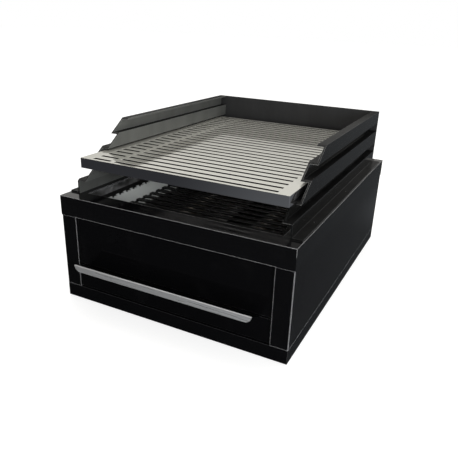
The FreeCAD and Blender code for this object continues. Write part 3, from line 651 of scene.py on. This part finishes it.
def choose_faces(mesh: bmesh.types.BMesh, direction: Vector) -> None:
    """Select only the faces that look one way.

    Args:
        mesh: the mesh being edited.
        direction: the way they look.
    """
    bpy.ops.mesh.select_all(action="DESELECT")
    for face in mesh.faces:
        if face.normal.dot(direction) > ALONG:
            face.select_set(True)


@contextmanager
def editing(piece: Piece, direction: Vector | None = None) -> Iterator[bmesh.types.BMesh]:
    """Open a piece in edit mode with some faces selected, and hand over its edit mesh.

    Args:
        piece: the object to edit.
        direction: the way the faces look, or nothing for all faces.

    Yields:
        The mesh being edited.
    """
    pick(piece)
    bpy.ops.object.mode_set(mode="EDIT")
    bpy.ops.mesh.select_mode(type="FACE")
    bpy.ops.mesh.select_all(action="SELECT")
    mesh = bmesh.from_edit_mesh(piece.data)
    if direction is not None:
        choose_faces(mesh, direction)
    yield mesh
    bpy.ops.object.mode_set(mode="OBJECT")


def settle(piece: Piece) -> None:
    """Put a piece's place into its mesh."""
    pick(piece)
    bpy.ops.object.transform_apply(location=True, rotation=True, scale=True)


def apply_modifier(piece: Piece, kind: str, **settings: object) -> None:
    """Add a modifier and apply it.

    Args:
        piece: the object.
        kind: the modifier's type.
        settings: its properties.
    """
    pick(piece)
    modifier = piece.modifiers.new(kind, kind)
    for key, value in settings.items():
        setattr(modifier, key, value)
    bpy.ops.object.modifier_apply(modifier=modifier.name)


def round_edges(piece: Piece, width: float, segments: int = 2, angle: float = TURNED_ANGLE) -> None:
    """Bevel the sharp edges and smooth the rest, with flat faces kept flat.

    Args:
        piece: the object.
        width: the bevel's width in metres.
        segments: steps across it.
        angle: the least angle, in degrees, that counts as an edge.
    """
    apply_modifier(piece, "BEVEL", width=width, segments=segments, limit_method="ANGLE",
                   angle_limit=math.radians(angle))
    bpy.ops.object.shade_smooth_by_angle(angle=math.radians(SMOOTH_ANGLE))
    apply_modifier(piece, "WEIGHTED_NORMAL", keep_sharp=True)


def mount(piece: Piece, name: str, node: str, finish: str = "", replace: bool = True) -> None:
    """Name and paint a finished piece, and hang it where its frame node hangs.

    Args:
        piece: the object.
        name: its name.
        node: the frame node that it belongs to.
        finish: a key of FINISHES, or nothing for the node's own.
        replace: whether it stands for the node.
    """
    piece.name = name
    piece.data.name = name
    piece.data.materials.clear()
    slot = NODE_SLOT[node]
    piece.data.materials.append(paint(finish or NODE_FINISH.get(node, slot)))
    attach(piece, NODE_BODY[node])
    if replace:
        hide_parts(node)
    log.info("%s: %d faces on %s", name, len(piece.data.polygons), NODE_BODY[node])


def repeated(first: Piece, spots: Sequence[Vector]) -> list:
    """Copy a piece, mesh and all, from its own spot to the others.

    Args:
        first: the object at the first spot.
        spots: where the pieces belong.

    Returns:
        The piece and its copies, in the order of the spots.
    """
    pieces = [first]
    for spot in spots[1:]:
        twin = first.copy()
        twin.data = first.data.copy()
        bpy.context.scene.collection.objects.link(twin)
        twin.location = spot - spots[0]
        settle(twin)
        pieces.append(twin)
    return pieces


def dress(edge: float, *nodes: str, segments: int = 2) -> None:
    """Put clean copies of nodes in their stead, with rounded edges and finishes.

    Args:
        edge: width of the rounded edges in metres.
        nodes: the frame nodes.
        segments: steps across the edges.
    """
    for node in nodes:
        copy = bpy.data.objects.new(node + "_finished", frame["nodes"][node].data.copy())
        bpy.context.scene.collection.objects.link(copy)
        with editing(copy):
            bpy.ops.mesh.remove_doubles(threshold=WELD_GAP)
            bpy.ops.mesh.customdata_custom_splitnormals_clear()
            bpy.ops.mesh.dissolve_limited(angle_limit=math.radians(FLAT_ANGLE))
        round_edges(copy, edge, segments, SHEET_ANGLE)
        mount(copy, node + "_finished", node)


def islands(node: str) -> list:
    """The boxes of a node's separate solids.

    Args:
        node: the frame node.

    Returns:
        Pairs of low and high corners.
    """
    mesh = bmesh.new()
    mesh.from_mesh(frame["nodes"][node].data)
    bmesh.ops.remove_doubles(mesh, verts=mesh.verts, dist=WELD_GAP)
    left = set(mesh.verts)
    found = []
    while left:
        front = [left.pop()]
        group = list(front)
        while front:
            vertex = front.pop()
            for edge in vertex.link_edges:
                other = edge.other_vert(vertex)
                if other in left:
                    left.remove(other)
                    front.append(other)
                    group.append(other)
        low = Vector(min(vertex.co[axis] for vertex in group) for axis in range(3))
        high = Vector(max(vertex.co[axis] for vertex in group) for axis in range(3))
        found.append((low, high))
    mesh.free()
    return sorted(found, key=lambda pair: tuple(round(value, 5) for value in pair[0]))


def round_bar(radius: float, start: Vector, end: Vector, vertices: int = 48) -> Piece:
    """A cylinder between two points.

    Args:
        radius: its radius.
        start: the middle of its first end.
        end: the middle of its far end.
        vertices: sides.

    Returns:
        The object, with its place in its mesh.
    """
    axis = end - start
    turn = axis.to_track_quat("Z", "Y").to_euler()
    bpy.ops.mesh.primitive_cylinder_add(vertices=vertices, radius=radius, depth=axis.length,
                                        location=(start + end) / 2, rotation=turn)
    piece = bpy.context.active_object
    settle(piece)
    return piece


def at_depth(middle: Vector, depth: float) -> Vector:
    """The point of a front-to-back axis at one depth."""
    return Vector((middle.x, depth, middle.z))


def extrude_rings(direction: Vector, *rings: tuple) -> None:
    """Extrude the selected faces, ring after ring.

    Args:
        direction: the way out.
        rings: how far each ring goes, and its size over the one before.
    """
    for distance, scale in rings:
        bpy.ops.mesh.extrude_region_move(TRANSFORM_OT_translate={"value": tuple(direction * distance)})
        if scale != 1.0:
            bpy.ops.transform.resize(value=(scale, scale, scale))


@dataclass
class Cabinet:
    """Cover, sides, front posts, fascia, back panel and plinth."""

    edge: float = 0.7 * MM
    fine_edge: float = 0.4 * MM
    screw_edge: float = 0.2 * MM
    shells: tuple = ("top_cover", "base_pan", "front_frame", "side_panel_left", "side_panel_right")
    inner: tuple = ("fascia_panel", "back_panel")

    def build(self) -> None:
        """Dress every sheet and fit the feet and screws."""
        dress(self.edge, *self.shells, segments=3)
        dress(self.fine_edge, *self.inner)
        Feet().build()
        ScrewSet("panel_screws", BACK).build()
        ScrewSet("foot_screws", DOWN).build()
        dress(self.screw_edge, "rack_screws")


@dataclass
class Feet:
    """Rubber feet with a tapered tread, a groove and a well for their screws."""

    nodes: tuple = ("foot_front_left", "foot_front_right", "foot_rear_left", "foot_rear_right")
    waist: float = 0.4
    groove: float = 0.93
    groove_height: float = 0.1
    tread: float = 0.9
    tread_height: float = 0.3
    well: float = 0.52
    well_depth: float = 0.48
    well_taper: float = 0.96
    edge: float = 0.5 * MM

    def build(self) -> None:
        """Model one foot and copy it to the other corners."""
        spots = [sum(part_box(node), Vector()) / 2 for node in self.nodes]
        for node, foot in zip(self.nodes, repeated(self.model(self.nodes[0]), spots)):
            mount(foot, node + "_rubber", node)

    def model(self, node: str) -> Piece:
        """Turn a foot in its node's place.

        Args:
            node: the frame node.

        Returns:
            The foot.
        """
        low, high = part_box(node)
        middle = (low + high) / 2
        height = high.z - low.z
        waist = Vector((middle.x, middle.y, low.z + height * self.waist))
        piece = round_bar((high.x - low.x) / 2, Vector((middle.x, middle.y, high.z)), waist)
        with editing(piece, DOWN):
            extrude_rings(DOWN, (0, self.groove), (height * self.groove_height, 1.0), (0, 1.0 / self.groove),
                          (height * self.tread_height, self.tread), (0, self.well),
                          (-height * self.well_depth, self.well_taper))
        round_edges(piece, self.edge)
        return piece


@dataclass
class ScrewSet:
    """Pan-head screws with a driver recess, one for each solid of a node."""

    node: str
    outward: Vector
    head_share: float = 0.35
    head_most: float = 2.6 * MM
    recess: float = 0.5
    recess_depth: float = 1.1 * MM
    recess_taper: float = 0.85
    shank: float = 0.55
    edge: float = 0.25 * MM
    sides: int = 24

    def build(self) -> None:
        """Model one screw, copy it to every solid's place and join them."""
        boxes = islands(self.node)
        spots = [(low + high) / 2 for low, high in boxes]
        screws = repeated(self.model(*boxes[0]), spots)
        pick(screws[0])
        for screw in screws:
            screw.select_set(True)
        bpy.ops.object.join()
        mount(screws[0], self.node + "_cut", self.node)

    def model(self, low: Vector, high: Vector) -> Piece:
        """One screw in a solid's box.

        Args:
            low: the box's low corner.
            high: its high corner.

        Returns:
            The screw.
        """
        middle = (low + high) / 2
        span = high - low
        length = abs(span.dot(self.outward))
        radius = max(span[axis.value] for axis in Axis if abs(self.outward[axis.value]) < 0.5) / 2
        top = middle + self.outward * length / 2
        thickness = min(length * self.head_share, self.head_most)
        piece = round_bar(radius, top - self.outward * thickness, top, self.sides)
        with editing(piece, self.outward) as mesh:
            extrude_rings(self.outward, (0, self.recess), (-self.recess_depth, self.recess_taper))
            choose_faces(mesh, -self.outward)
            extrude_rings(self.outward, (0, self.shank), (thickness - length, 1.0))
        round_edges(piece, self.edge)
        return piece


@dataclass
class Drawer:
    """Drawer front, tray, slides, screws and the folded pull."""

    sheets: tuple = ("drawer_front", "drawer_tray", "slide_left", "slide_right", "drawer_screws",
                     "runner_left", "runner_right")
    edge: float = 0.4 * MM
    sheet: float = 1.5 * MM
    lip: float = 11.8 * MM
    bend: float = 1.6 * MM
    shelf_rise: float = 0.3 * MM
    pull_edge: float = 0.3 * MM
    near: float = 0.01 * MM
    steps: int = 5

    def build(self) -> None:
        """Dress the sheets and fold the pull."""
        dress(self.edge, *self.sheets)
        self.fold_pull()

    def path(self) -> list:
        """The pull's outer line in the YZ plane, from the hidden flange to the lip.

        Returns:
            Rows of y, z and half length.
        """
        low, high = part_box("drawer_pull")
        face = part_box("drawer_front")[0].y
        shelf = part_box("drawer_front")[1].z + self.sheet
        half = high.x
        rows = [(high.y, low.z, half), (high.y, shelf - self.bend, half)]
        rows += self.arc((high.y - self.bend, shelf - self.bend), 0.0, 90.0, half)
        rows.append((face + self.bend, shelf, half))
        slope = math.atan2(high.z - shelf, face - low.y)
        crown = (low.y + self.bend, high.z - self.bend)
        rows.append((face, shelf + self.shelf_rise, half))
        rows += self.arc(crown, 90.0 - math.degrees(slope), 180.0, half)
        depth = self.lip - self.bend
        stages = self.steps * 2
        for index in range(1, stages + 1):
            down = depth * math.sin(index / stages * math.pi / 2)
            inset = self.lip - math.sqrt(max(0.0, self.lip ** 2 - (down + self.bend) ** 2))
            rows.append((low.y, high.z - self.bend - down, half - inset))
        return rows

    def arc(self, centre: tuple, start: float, end: float, half: float) -> list:
        """Points round a bend.

        Args:
            centre: its centre's y and z.
            start: the first angle in degrees, from +Y towards +Z.
            end: the last angle.
            half: half the sheet's length there.

        Returns:
            Rows of y, z and half length.
        """
        rows = []
        for index in range(self.steps + 1):
            angle = math.radians(start + (end - start) * index / self.steps)
            back, up = self.bend * math.cos(angle), self.bend * math.sin(angle)
            rows.append((centre[0] + back, centre[1] + up, half))
        return rows

    def fold_pull(self) -> None:
        """Extrude the pull's sheet along its fold, edge by edge."""
        rows = self.path()
        first, second = rows[0], rows[1]
        height = second[1] - first[1]
        bpy.ops.mesh.primitive_plane_add(size=1.0, location=(0, first[0], first[1] + height / 2),
                                         rotation=(math.pi / 2, 0, 0))
        piece = bpy.context.active_object
        piece.scale = (2 * first[2], height, 1.0)
        settle(piece)
        with editing(piece) as mesh:
            bpy.ops.mesh.select_mode(type="EDGE")
            bpy.ops.mesh.select_all(action="DESELECT")
            for edge in mesh.edges:
                if all(abs(vertex.co.z - second[1]) < self.near for vertex in edge.verts):
                    edge.select_set(True)
            previous = second
            for row in rows[2:]:
                move = (0, row[0] - previous[0], row[1] - previous[1])
                bpy.ops.mesh.extrude_region_move(TRANSFORM_OT_translate={"value": move})
                if row[2] != previous[2]:
                    bpy.ops.transform.resize(value=(row[2] / previous[2], 1.0, 1.0))
                previous = row
            bpy.ops.mesh.select_all(action="SELECT")
            bpy.ops.mesh.remove_doubles(threshold=self.near)
        self.thicken(piece)
        round_edges(piece, self.pull_edge, angle=FOLD_ANGLE)
        mount(piece, "drawer_pull_folded", "drawer_pull")

    def thicken(self, piece: Piece) -> None:
        """Give the sheet its thickness towards the inside of the fold.

        Args:
            piece: the open sheet.
        """
        lip = min(piece.data.polygons, key=lambda face: face.center.y)
        outward = 1.0 if lip.normal.y > 0 else -1.0
        apply_modifier(piece, "SOLIDIFY", thickness=self.sheet, offset=outward, use_even_offset=True)
        with editing(piece):
            bpy.ops.mesh.normals_make_consistent(inside=False)


@dataclass
class SheetWork:
    """Pieces that keep the frame's shape and get rounded edges and a finish."""

    nodes: tuple
    edge: float

    def build(self) -> None:
        """Dress every piece."""
        dress(self.edge, *self.nodes)


@dataclass
class Rack(SheetWork):
    """The folded side walls and the back wall."""

    nodes: tuple = ("rack_wall_left", "rack_wall_right", "rack_wall_back")
    edge: float = 0.5 * MM


@dataclass
class Grate(SheetWork):
    """The slotted grate."""

    nodes: tuple = ("grate",)
    edge: float = 0.45 * MM


@dataclass
class Firebox(SheetWork):
    """Firebox, comb ledges, deflectors, flame guard and burners."""

    nodes: tuple = ("firebox", "comb_ledge_left", "comb_ledge_right", "deflector_left", "deflector_right",
                    "flame_guard", "burner_rest", "burner_left", "burner_right", "spark_electrode")
    edge: float = 0.4 * MM


@dataclass
class Knob:
    """A control knob: a dished disc with a tapered grip and a painted pointer."""

    hand: str
    rim: float = 0.8 * MM
    dish: tuple = (0.9, 0.97)
    hub: float = 0.35
    disc_edge: float = 0.5 * MM
    disc_sides: int = 64
    grip_width: float = 8.0 * MM
    grip_length: float = 29.0 * MM
    grip_taper: tuple = (0.7, 1.0, 0.9)
    grip_edge: float = 1.2 * MM
    pointer_width: float = 1.8 * MM
    pointer_share: float = 0.36
    pointer_start: float = 0.5 * MM
    pointer_inset: float = 0.3 * MM
    pointer_crown: float = 0.1 * MM
    pointer_edge: float = 0.12 * MM
    proud: float = 0.35 * MM

    def build(self) -> None:
        """Model the knob in its node's place."""
        node = f"knob_{self.hand}"
        low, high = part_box(node)
        middle = (low + high) / 2
        radius = (high.x - low.x) / 2
        disc = round_bar(radius, at_depth(middle, low.y), middle, self.disc_sides)
        with editing(disc, BACK) as mesh:
            extrude_rings(BACK, (0, self.dish[0]), (-self.rim, self.dish[1]))
            choose_faces(mesh, -BACK)
            extrude_rings(BACK, (0, self.hub), (self.rim * 4, 1.0))
        round_edges(disc, self.disc_edge, 3)
        mount(disc, node + "_disc", node)
        place = at_depth(middle, (middle.y + high.y) / 2 - self.rim - self.proud)
        bpy.ops.mesh.primitive_cube_add(size=1.0, location=place)
        grip = bpy.context.active_object
        grip.scale = (self.grip_width, high.y - middle.y + self.rim * 2, self.grip_length)
        settle(grip)
        with editing(grip, BACK):
            bpy.ops.transform.resize(value=self.grip_taper)
        round_edges(grip, self.grip_edge, 3)
        mount(grip, node + "_grip", node, replace=False)
        self.pointer(node, at_depth(middle, high.y))

    def pointer(self, node: str, top: Vector) -> None:
        """A painted line let into the grip's upper half.

        Args:
            node: the knob's frame node.
            top: the middle of the grip's outer face.
        """
        length = self.grip_length * self.pointer_share
        rise = top.z + length / 2 + self.pointer_start
        bpy.ops.mesh.primitive_cube_add(size=1.0, location=(top.x, top.y - self.proud, rise))
        line = bpy.context.active_object
        line.scale = (self.pointer_width, self.proud * 2, length)
        settle(line)
        with editing(line, BACK):
            bpy.ops.mesh.inset(thickness=self.pointer_inset)
            bpy.ops.transform.translate(value=(0, -self.pointer_crown, 0))
        round_edges(line, self.pointer_edge)
        mount(line, node + "_pointer", node, "pointer_paint", replace=False)


@dataclass
class Inlet:
    """The gas inlet: a hexagon nut against the back panel and a barbed tail."""

    radius: float = 8.0 * MM
    nut_radius: float = 12.0 * MM
    nut_depth: float = 7.0 * MM
    nut_face: float = 0.9
    nut_crown: float = 0.6 * MM
    nut_edge: float = 0.5 * MM
    barbs: int = 4
    barb_waist: float = 0.8
    barb_neck: float = 0.2
    barb_taper: float = 0.86
    barb_edge: float = 0.2 * MM
    bore: float = 0.5
    bore_barbs: int = 3

    def build(self) -> None:
        """Model the inlet in its node's place."""
        low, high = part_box("gas_inlet")
        middle = (low + high) / 2
        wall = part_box("back_panel")[1].y
        nut_end = wall + self.nut_depth
        stub = round_bar(self.radius, at_depth(middle, low.y), at_depth(middle, nut_end))
        pitch = (high.y - nut_end) / self.barbs
        with editing(stub, BACK):
            for _ in range(self.barbs):
                extrude_rings(BACK, (0, self.barb_waist), (pitch * self.barb_neck, 1.0),
                              (0, 1.0 / self.barb_waist), (pitch * (1.0 - self.barb_neck), self.barb_taper),
                              (0, 1.0 / self.barb_taper))
            bpy.ops.transform.resize(value=(self.barb_taper, 1.0, self.barb_taper))
            extrude_rings(BACK, (0, self.bore), (-pitch * self.bore_barbs, 1.0))
        round_edges(stub, self.barb_edge)
        mount(stub, "gas_inlet_tail", "gas_inlet")
        nut = round_bar(self.nut_radius, at_depth(middle, wall), at_depth(middle, nut_end), 6)
        with editing(nut, BACK):
            extrude_rings(BACK, (self.nut_crown, self.nut_face))
        round_edges(nut, self.nut_edge, angle=NUT_ANGLE)
        mount(nut, "gas_inlet_nut", "gas_inlet", replace=False)


@dataclass
class Igniter:
    """The igniter's collar, body and domed button."""

    edge: float = 0.4 * MM
    crown: float = 2.0 * MM
    rings: int = 5
    button_edge: float = 0.3 * MM

    def build(self) -> None:
        """Model the button and dress the rest."""
        dress(self.edge, "igniter_body", "igniter_bracket")
        low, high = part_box("igniter_button")
        middle = (low + high) / 2
        radius = (high.x - low.x) / 2
        button = round_bar(radius, at_depth(middle, low.y), at_depth(middle, high.y - self.crown))
        angles = [index / (self.rings + 1) * math.pi / 2 for index in range(self.rings + 1)]
        with editing(button, BACK):
            for last, angle in zip(angles, angles[1:]):
                rise = self.crown * (math.sin(angle) - math.sin(last))
                extrude_rings(BACK, (rise, math.cos(angle) / math.cos(last)))
        round_edges(button, self.button_edge, angle=FOLD_ANGLE)
        mount(button, "igniter_button_dome", "igniter_button")


@dataclass
class GasTrain:
    """Pipe, valves, stems, injectors, inlet, knobs and igniter."""

    edge: float = 0.4 * MM

    def build(self) -> None:
        """Dress the fittings and model what shows at the back."""
        dress(self.edge, "gas_manifold")
        for hand in ("left", "right"):
            dress(self.edge, f"valve_{hand}", f"valve_stem_{hand}", f"injector_{hand}")
            Knob(hand).build()
        Inlet().build()
        Igniter().build()


@dataclass(frozen=True)
class Lamp:
    """One soft rectangular lamp."""

    name: str
    place: tuple
    target: tuple
    size: tuple
    watts: float
    colour: tuple

    def build(self) -> None:
        """Hang the lamp and aim it."""
        data = bpy.data.lights.new(self.name, "AREA")
        data.shape = "RECTANGLE"
        data.size, data.size_y = self.size
        data.energy = self.watts
        data.color = self.colour
        lamp = bpy.data.objects.new(self.name, data)
        bpy.context.scene.collection.objects.link(lamp)
        lamp.location = self.place
        lamp.rotation_euler = (Vector(self.target) - Vector(self.place)).to_track_quat("-Z", "Y").to_euler()


@dataclass
class Studio:
    """Camera, floor, lamps and surroundings."""

    camera_place: tuple = (0.42845, -0.94115, 0.50239)
    azimuth: float = 26.15
    elevation: float = 22.283
    roll: float = 2.086
    lens: float = 39.97
    sensor: float = 36.0
    near: float = 0.01
    floor_size: float = 30.0
    floor_colour: tuple = (0.8, 0.8, 0.8)
    floor_shade: tuple = (0.5, 0.5, 0.5)
    floor_white: float = 0.74
    floor_mirror: float = 0.1
    floor_least: float = 0.012
    behind_glow: float = 0.4
    left_glow: float = 0.35
    right_glow: float = 0.22
    front_glow: float = 0.05
    floor_tint: tuple = (0.90, 0.95, 1.0)
    room_tint: tuple = (1.0, 0.985, 0.95)
    room_least: float = 0.03
    room_even: float = 0.5
    room_behind: float = 0.42
    room_slant: float = 0.45
    lamps: tuple = (
        Lamp("key", (-0.6, 1.0, 2.2), (0.0, 0.0, 0.2), (3.0, 2.6), 30.0, (1.0, 0.98, 0.94)),
        Lamp("fill", (1.2, -1.1, 0.55), (-0.1, -0.15, 0.17), (0.6, 0.4), 10.0, (0.94, 0.97, 1.0)),
    )

    def build(self) -> None:
        """Set up everything round the grill."""
        self.camera()
        self.floor()
        self.surroundings()
        for lamp in self.lamps:
            lamp.build()
        bpy.context.scene.view_settings.view_transform = "Standard"

    def camera(self) -> None:
        """Stand the camera at the photograph's place."""
        turn, tilt, roll = (math.radians(angle) for angle in (self.azimuth, self.elevation, self.roll))
        forward = Vector((-math.sin(turn) * math.cos(tilt), math.cos(turn) * math.cos(tilt), -math.sin(tilt)))
        level = forward.cross(Vector((0, 0, 1))).normalized()
        upright = level.cross(forward)
        right = level * math.cos(roll) + upright * math.sin(roll)
        up = upright * math.cos(roll) - level * math.sin(roll)
        data = bpy.data.cameras.new("photograph_view")
        data.lens = self.lens
        data.sensor_width = self.sensor
        data.clip_start = self.near
        camera = bpy.data.objects.new("photograph_view", data)
        bpy.context.scene.collection.objects.link(camera)
        pose = Matrix((right, up, -forward)).transposed().to_4x4()
        pose.translation = Vector(self.camera_place)
        camera.matrix_world = pose
        bpy.context.scene.camera = camera

    def floor(self) -> None:
        """Lay a pale floor that reads as white and keeps the grill's shadow."""
        bpy.ops.mesh.primitive_plane_add(size=self.floor_size, location=(0, 0, 0))
        floor = bpy.context.active_object
        floor.name = "studio_floor"
        material = bpy.data.materials.new("studio_floor")
        graph = Graph(material)
        pale = graph.add("ShaderNodeBsdfDiffuse", {}, {"Color": self.floor_colour})
        white = graph.add("ShaderNodeEmission", {}, {"Color": WHITE, "Strength": self.floor_white})
        half = graph.add("ShaderNodeBsdfDiffuse", {}, {"Color": self.floor_shade})
        lifted = graph.add("ShaderNodeAddShader", {}, {0: half, 1: white})
        glow = {"Color": self.floor_tint, "Strength": self.floor_glow(graph)}
        dim = graph.add("ShaderNodeEmission", {}, glow)
        lit = graph.mix(graph.seen_by("Camera"), pale, lifted)
        graph.close(graph.mix(graph.mirrored(), lit, dim))
        material.cycles.emission_sampling = "NONE"
        floor.data.materials.append(material)

    def floor_glow(self, graph: Graph) -> Socket:
        """How bright the floor is in the grill's metal: dark in front, pale behind and at the sides.

        Args:
            graph: the floor's graph.

        Returns:
            The strength.
        """
        across, back = graph.along(Axis.X), graph.along(Axis.Y)
        behind = back.ramped(0.3, 0.6) * (1.0 - across.ramped(0.0, 0.35))
        left = (0.0 - across).ramped(0.3, 0.6) * back.ramped(-0.4, -0.1)
        right = across.ramped(0.45, 0.9) * back.ramped(-0.6, -0.2) * (1.0 - back.ramped(0.0, 0.4))
        front = 1.0 - back.ramped(-0.6, -0.1)
        sides = behind * self.behind_glow + left * self.left_glow
        ends = sides + right * self.right_glow + front * self.front_glow
        return across.ramped(-0.6, 1.0) * self.floor_mirror + ends + self.floor_least

    def surroundings(self) -> None:
        """Fill the room with soft light, with a bright wall behind the grill for its metal to mirror."""
        world = bpy.data.worlds.new("studio_room")
        bpy.context.scene.world = world
        graph = Graph(world, "Generated")
        across, back, height = (graph.along(axis) for axis in Axis)
        aloft = height.ramped(0.15, 0.28)
        aside = (across - back * self.room_slant).ramped(0.0, 0.35)
        lit = 1.0 - (1.0 - aloft) * (1.0 - aside)
        wall = lit * (back.ramped(0.05, 0.7) * self.room_behind + self.room_even) + self.room_least
        room = graph.add("ShaderNodeBackground", {}, {"Color": self.room_tint, "Strength": wall})
        white = graph.add("ShaderNodeBackground", {}, {"Color": WHITE, "Strength": 1.0})
        graph.close(graph.mix(graph.seen_by("Camera"), room, white), "ShaderNodeOutputWorld")


def main() -> None:
    """Build the studio and then the grill, from the cabinet up."""
    for assembly in (Studio(), Cabinet(), Drawer(), Rack(), Grate(), Firebox(), GasTrain()):
        assembly.build()


if __name__ == "__main__":
    main()
